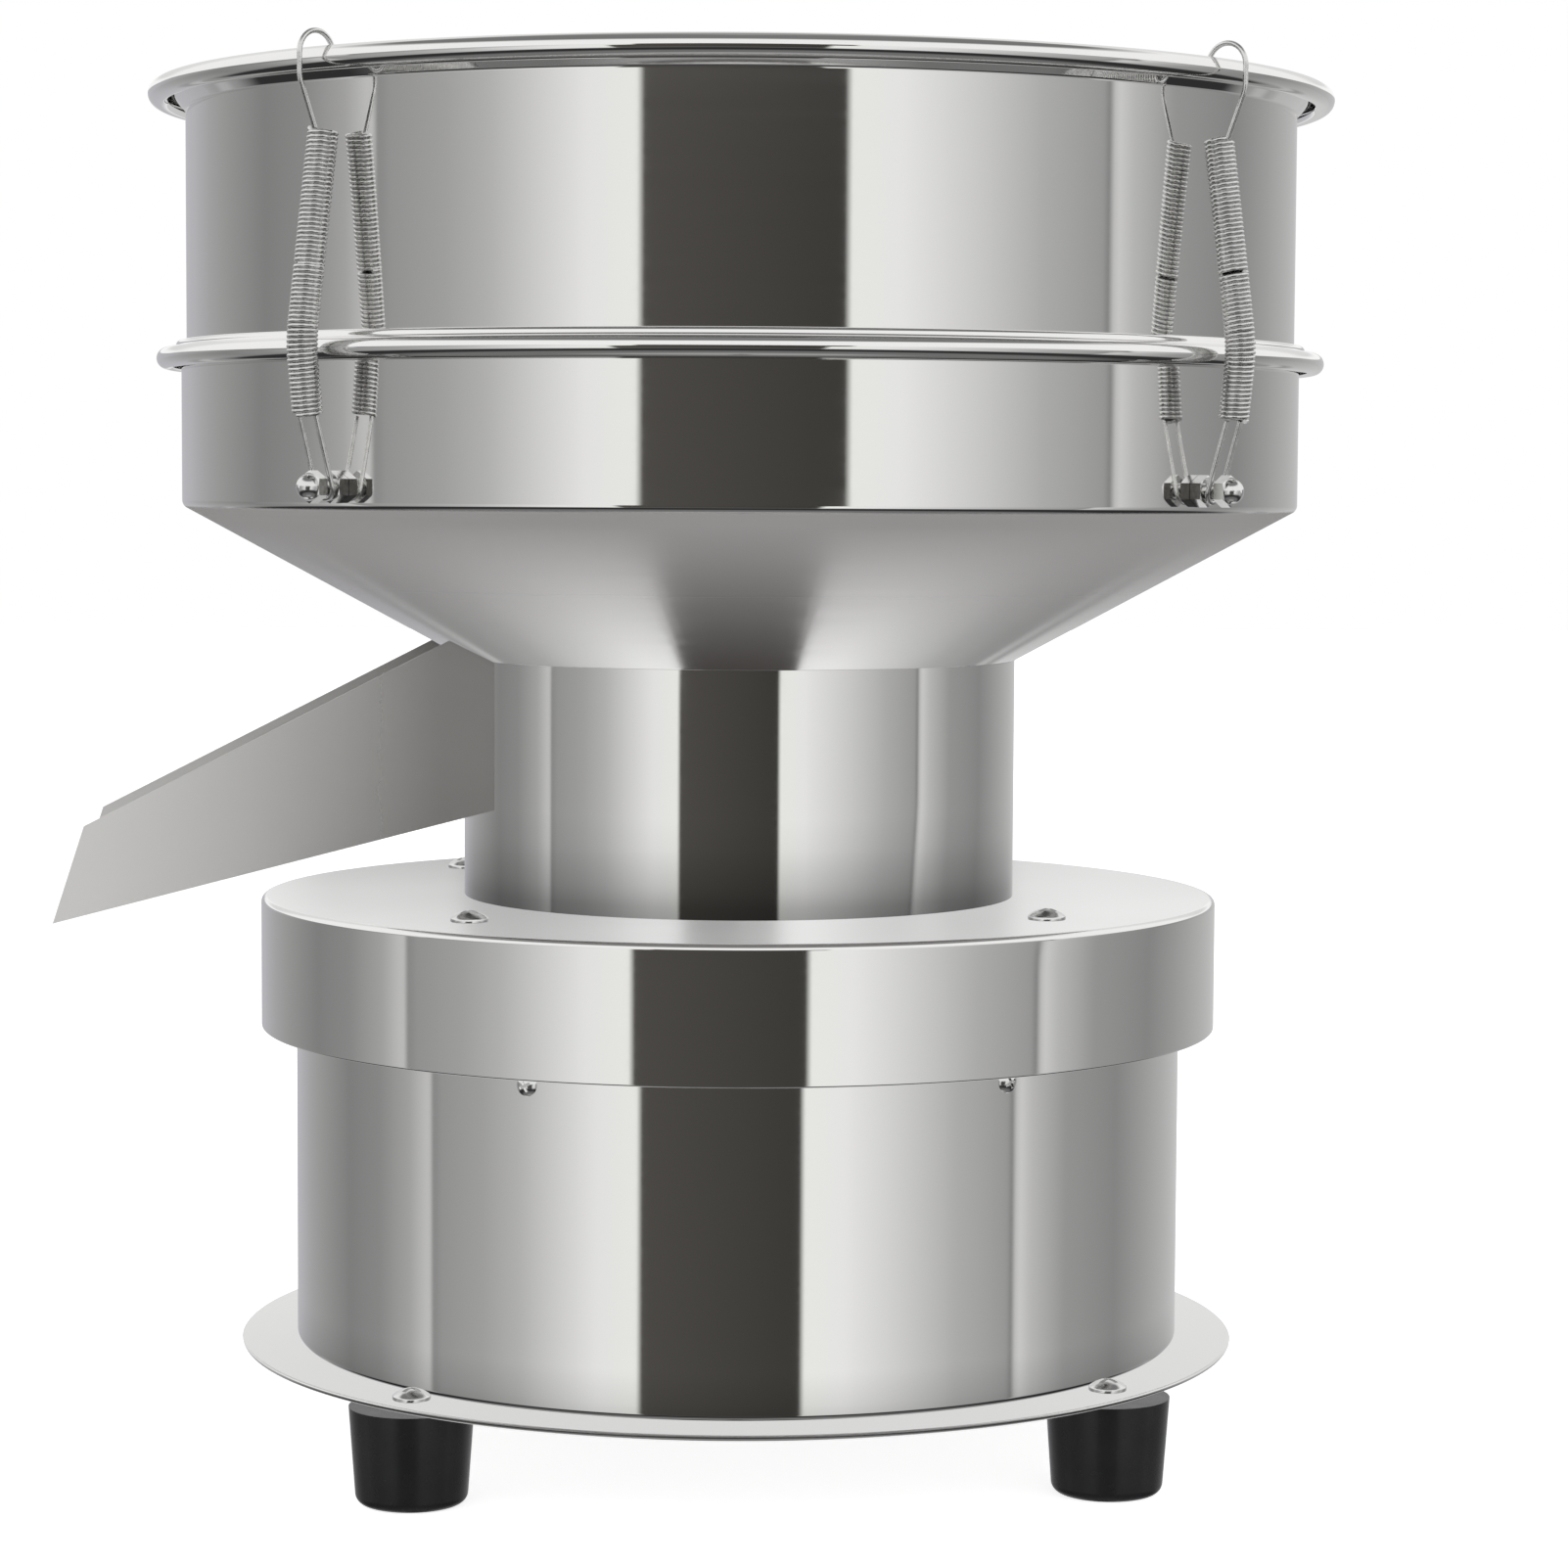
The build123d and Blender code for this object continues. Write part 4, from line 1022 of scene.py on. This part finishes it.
def makeWorld():
    world = bpy.data.worlds.new("studio")
    bpy.context.scene.world = world
    world.use_nodes = True
    recipe = Recipe(world.node_tree)
    direction = recipe.add("ShaderNodeTexCoord", output="Generated")
    bearing = math.atan2(view["place"][0], -view["place"][1])
    turned = recipe.add(
        "ShaderNodeVectorRotate", {"rotation_type": "Z_AXIS"}, {"Vector": direction, "Angle": -bearing})
    parts = recipe.add("ShaderNodeSeparateXYZ", sockets={"Vector": turned})
    x, y, z = (Flow(recipe.tree, parts.socket.node.outputs[number]) for number in range(3))
    azimuth = x.compute("ARCTAN2", x, 0 - y) * (180 / math.pi)
    height = z.compute("ARCSINE", z) * (180 / math.pi)

    def byDegrees(value, span, name):
        # a ramp that reaches the same number of degrees below and above nought
        stops = [((angle + span) / (2 * span), shade) for angle, shade in studio[name]]
        return recipe.ramp((value + span) / (2 * span), stops)

    def turn(name):
        high, low, start, end = studio[name]
        return high + past(height, start, end - start) * (low - high)

    left = past(0 - azimuth, studio["sideStart"], studio["sideWidth"])
    right = past(azimuth, studio["sideStart"], studio["sideWidth"])
    shift = turn("middleTurn") * (1 - left - right) + turn("leftTurn") * left + turn("rightTurn") * right
    panels = byDegrees(azimuth - shift, 180, "panels")
    surround = recipe.mixed(byDegrees(height, 90, "panelShare"), byDegrees(height, 90, "heights"), panels)
    # the cone's underside looks back and down, the cap's top back and up
    below, above = past(0 - height, *studio["rearBelow"]), past(height, *studio["rearAbove"])
    rear = past(abs(azimuth), studio["rearStart"], studio["rearWidth"]) * (below + above)
    core = past(abs(azimuth), studio["rearCoreStart"], studio["rearCoreWidth"])
    core = core * past(studio["rearCoreTop"] - height, 0, studio["rearCoreDrop"])
    rearLight = recipe.mixed(core, byDegrees(height, 90, "rearHeights"), (*studio["rearCore"], 1))
    surround = recipe.mixed(rear, surround, rearLight)
    # painted reflection of the neck on the far side, for the cap's top to show
    behind = x.compute("ARCTAN2", x, y) * (180 / math.pi)
    level = above * past(studio["neckTop"] - height, 0, studio["neckFade"])
    level = level * past(studio["neckSides"] - abs(behind), 0, studio["neckFade"])
    surround = recipe.mixed(level, surround, byDegrees(behind, studio["neckSpan"], "paintedNeckReflection"))
    seen = recipe.add("ShaderNodeLightPath", output="Is Camera Ray")
    shown = recipe.mixed(seen, surround, (1, 1, 1, 1))
    glow = recipe.add("ShaderNodeBackground", sockets={"Color": shown, "Strength": 1.0})
    recipe.add("ShaderNodeOutputWorld", sockets={"Surface": glow})


def makeFloor():
    deselectAll()
    bpy.ops.mesh.primitive_plane_add(size=studio["floorSize"], location=(0, 0, 0))
    floor = bpy.context.object
    floor.name = "paleFloor"
    floor.visible_glossy = False
    floor.data.materials.append(finish(
        "floorPaper", studio["floorTone"], studio["floorRoughness"], 0.0, None,
        {"Emission Color": (1, 1, 1, 1), "Emission Strength": studio["floorGlow"]}))


def makeCamera():
    camera = bpy.data.cameras.new("photographView")
    camera.lens = view["lens"]
    camera.sensor_width = view["sensor"]
    camera.clip_start = view["nearest"]
    holder = bpy.data.objects.new("photographView", camera)
    bpy.context.scene.collection.objects.link(holder)
    turn = Matrix.Rotation(math.radians(-view["heading"]), 4, "Z")
    turn = turn @ Matrix.Rotation(math.radians(90 + view["pitch"]), 4, "X")
    turn = turn @ Matrix.Rotation(math.radians(view["roll"]), 4, "Z")
    holder.matrix_world = Matrix.Translation(Vector(view["place"]) + Vector((axisX, 0, 0))) @ turn
    bpy.context.scene.camera = holder
    bpy.context.scene.view_settings.view_transform = "Standard"


makeWorld()
makeFloor()
makeCamera()
print("studio and camera")
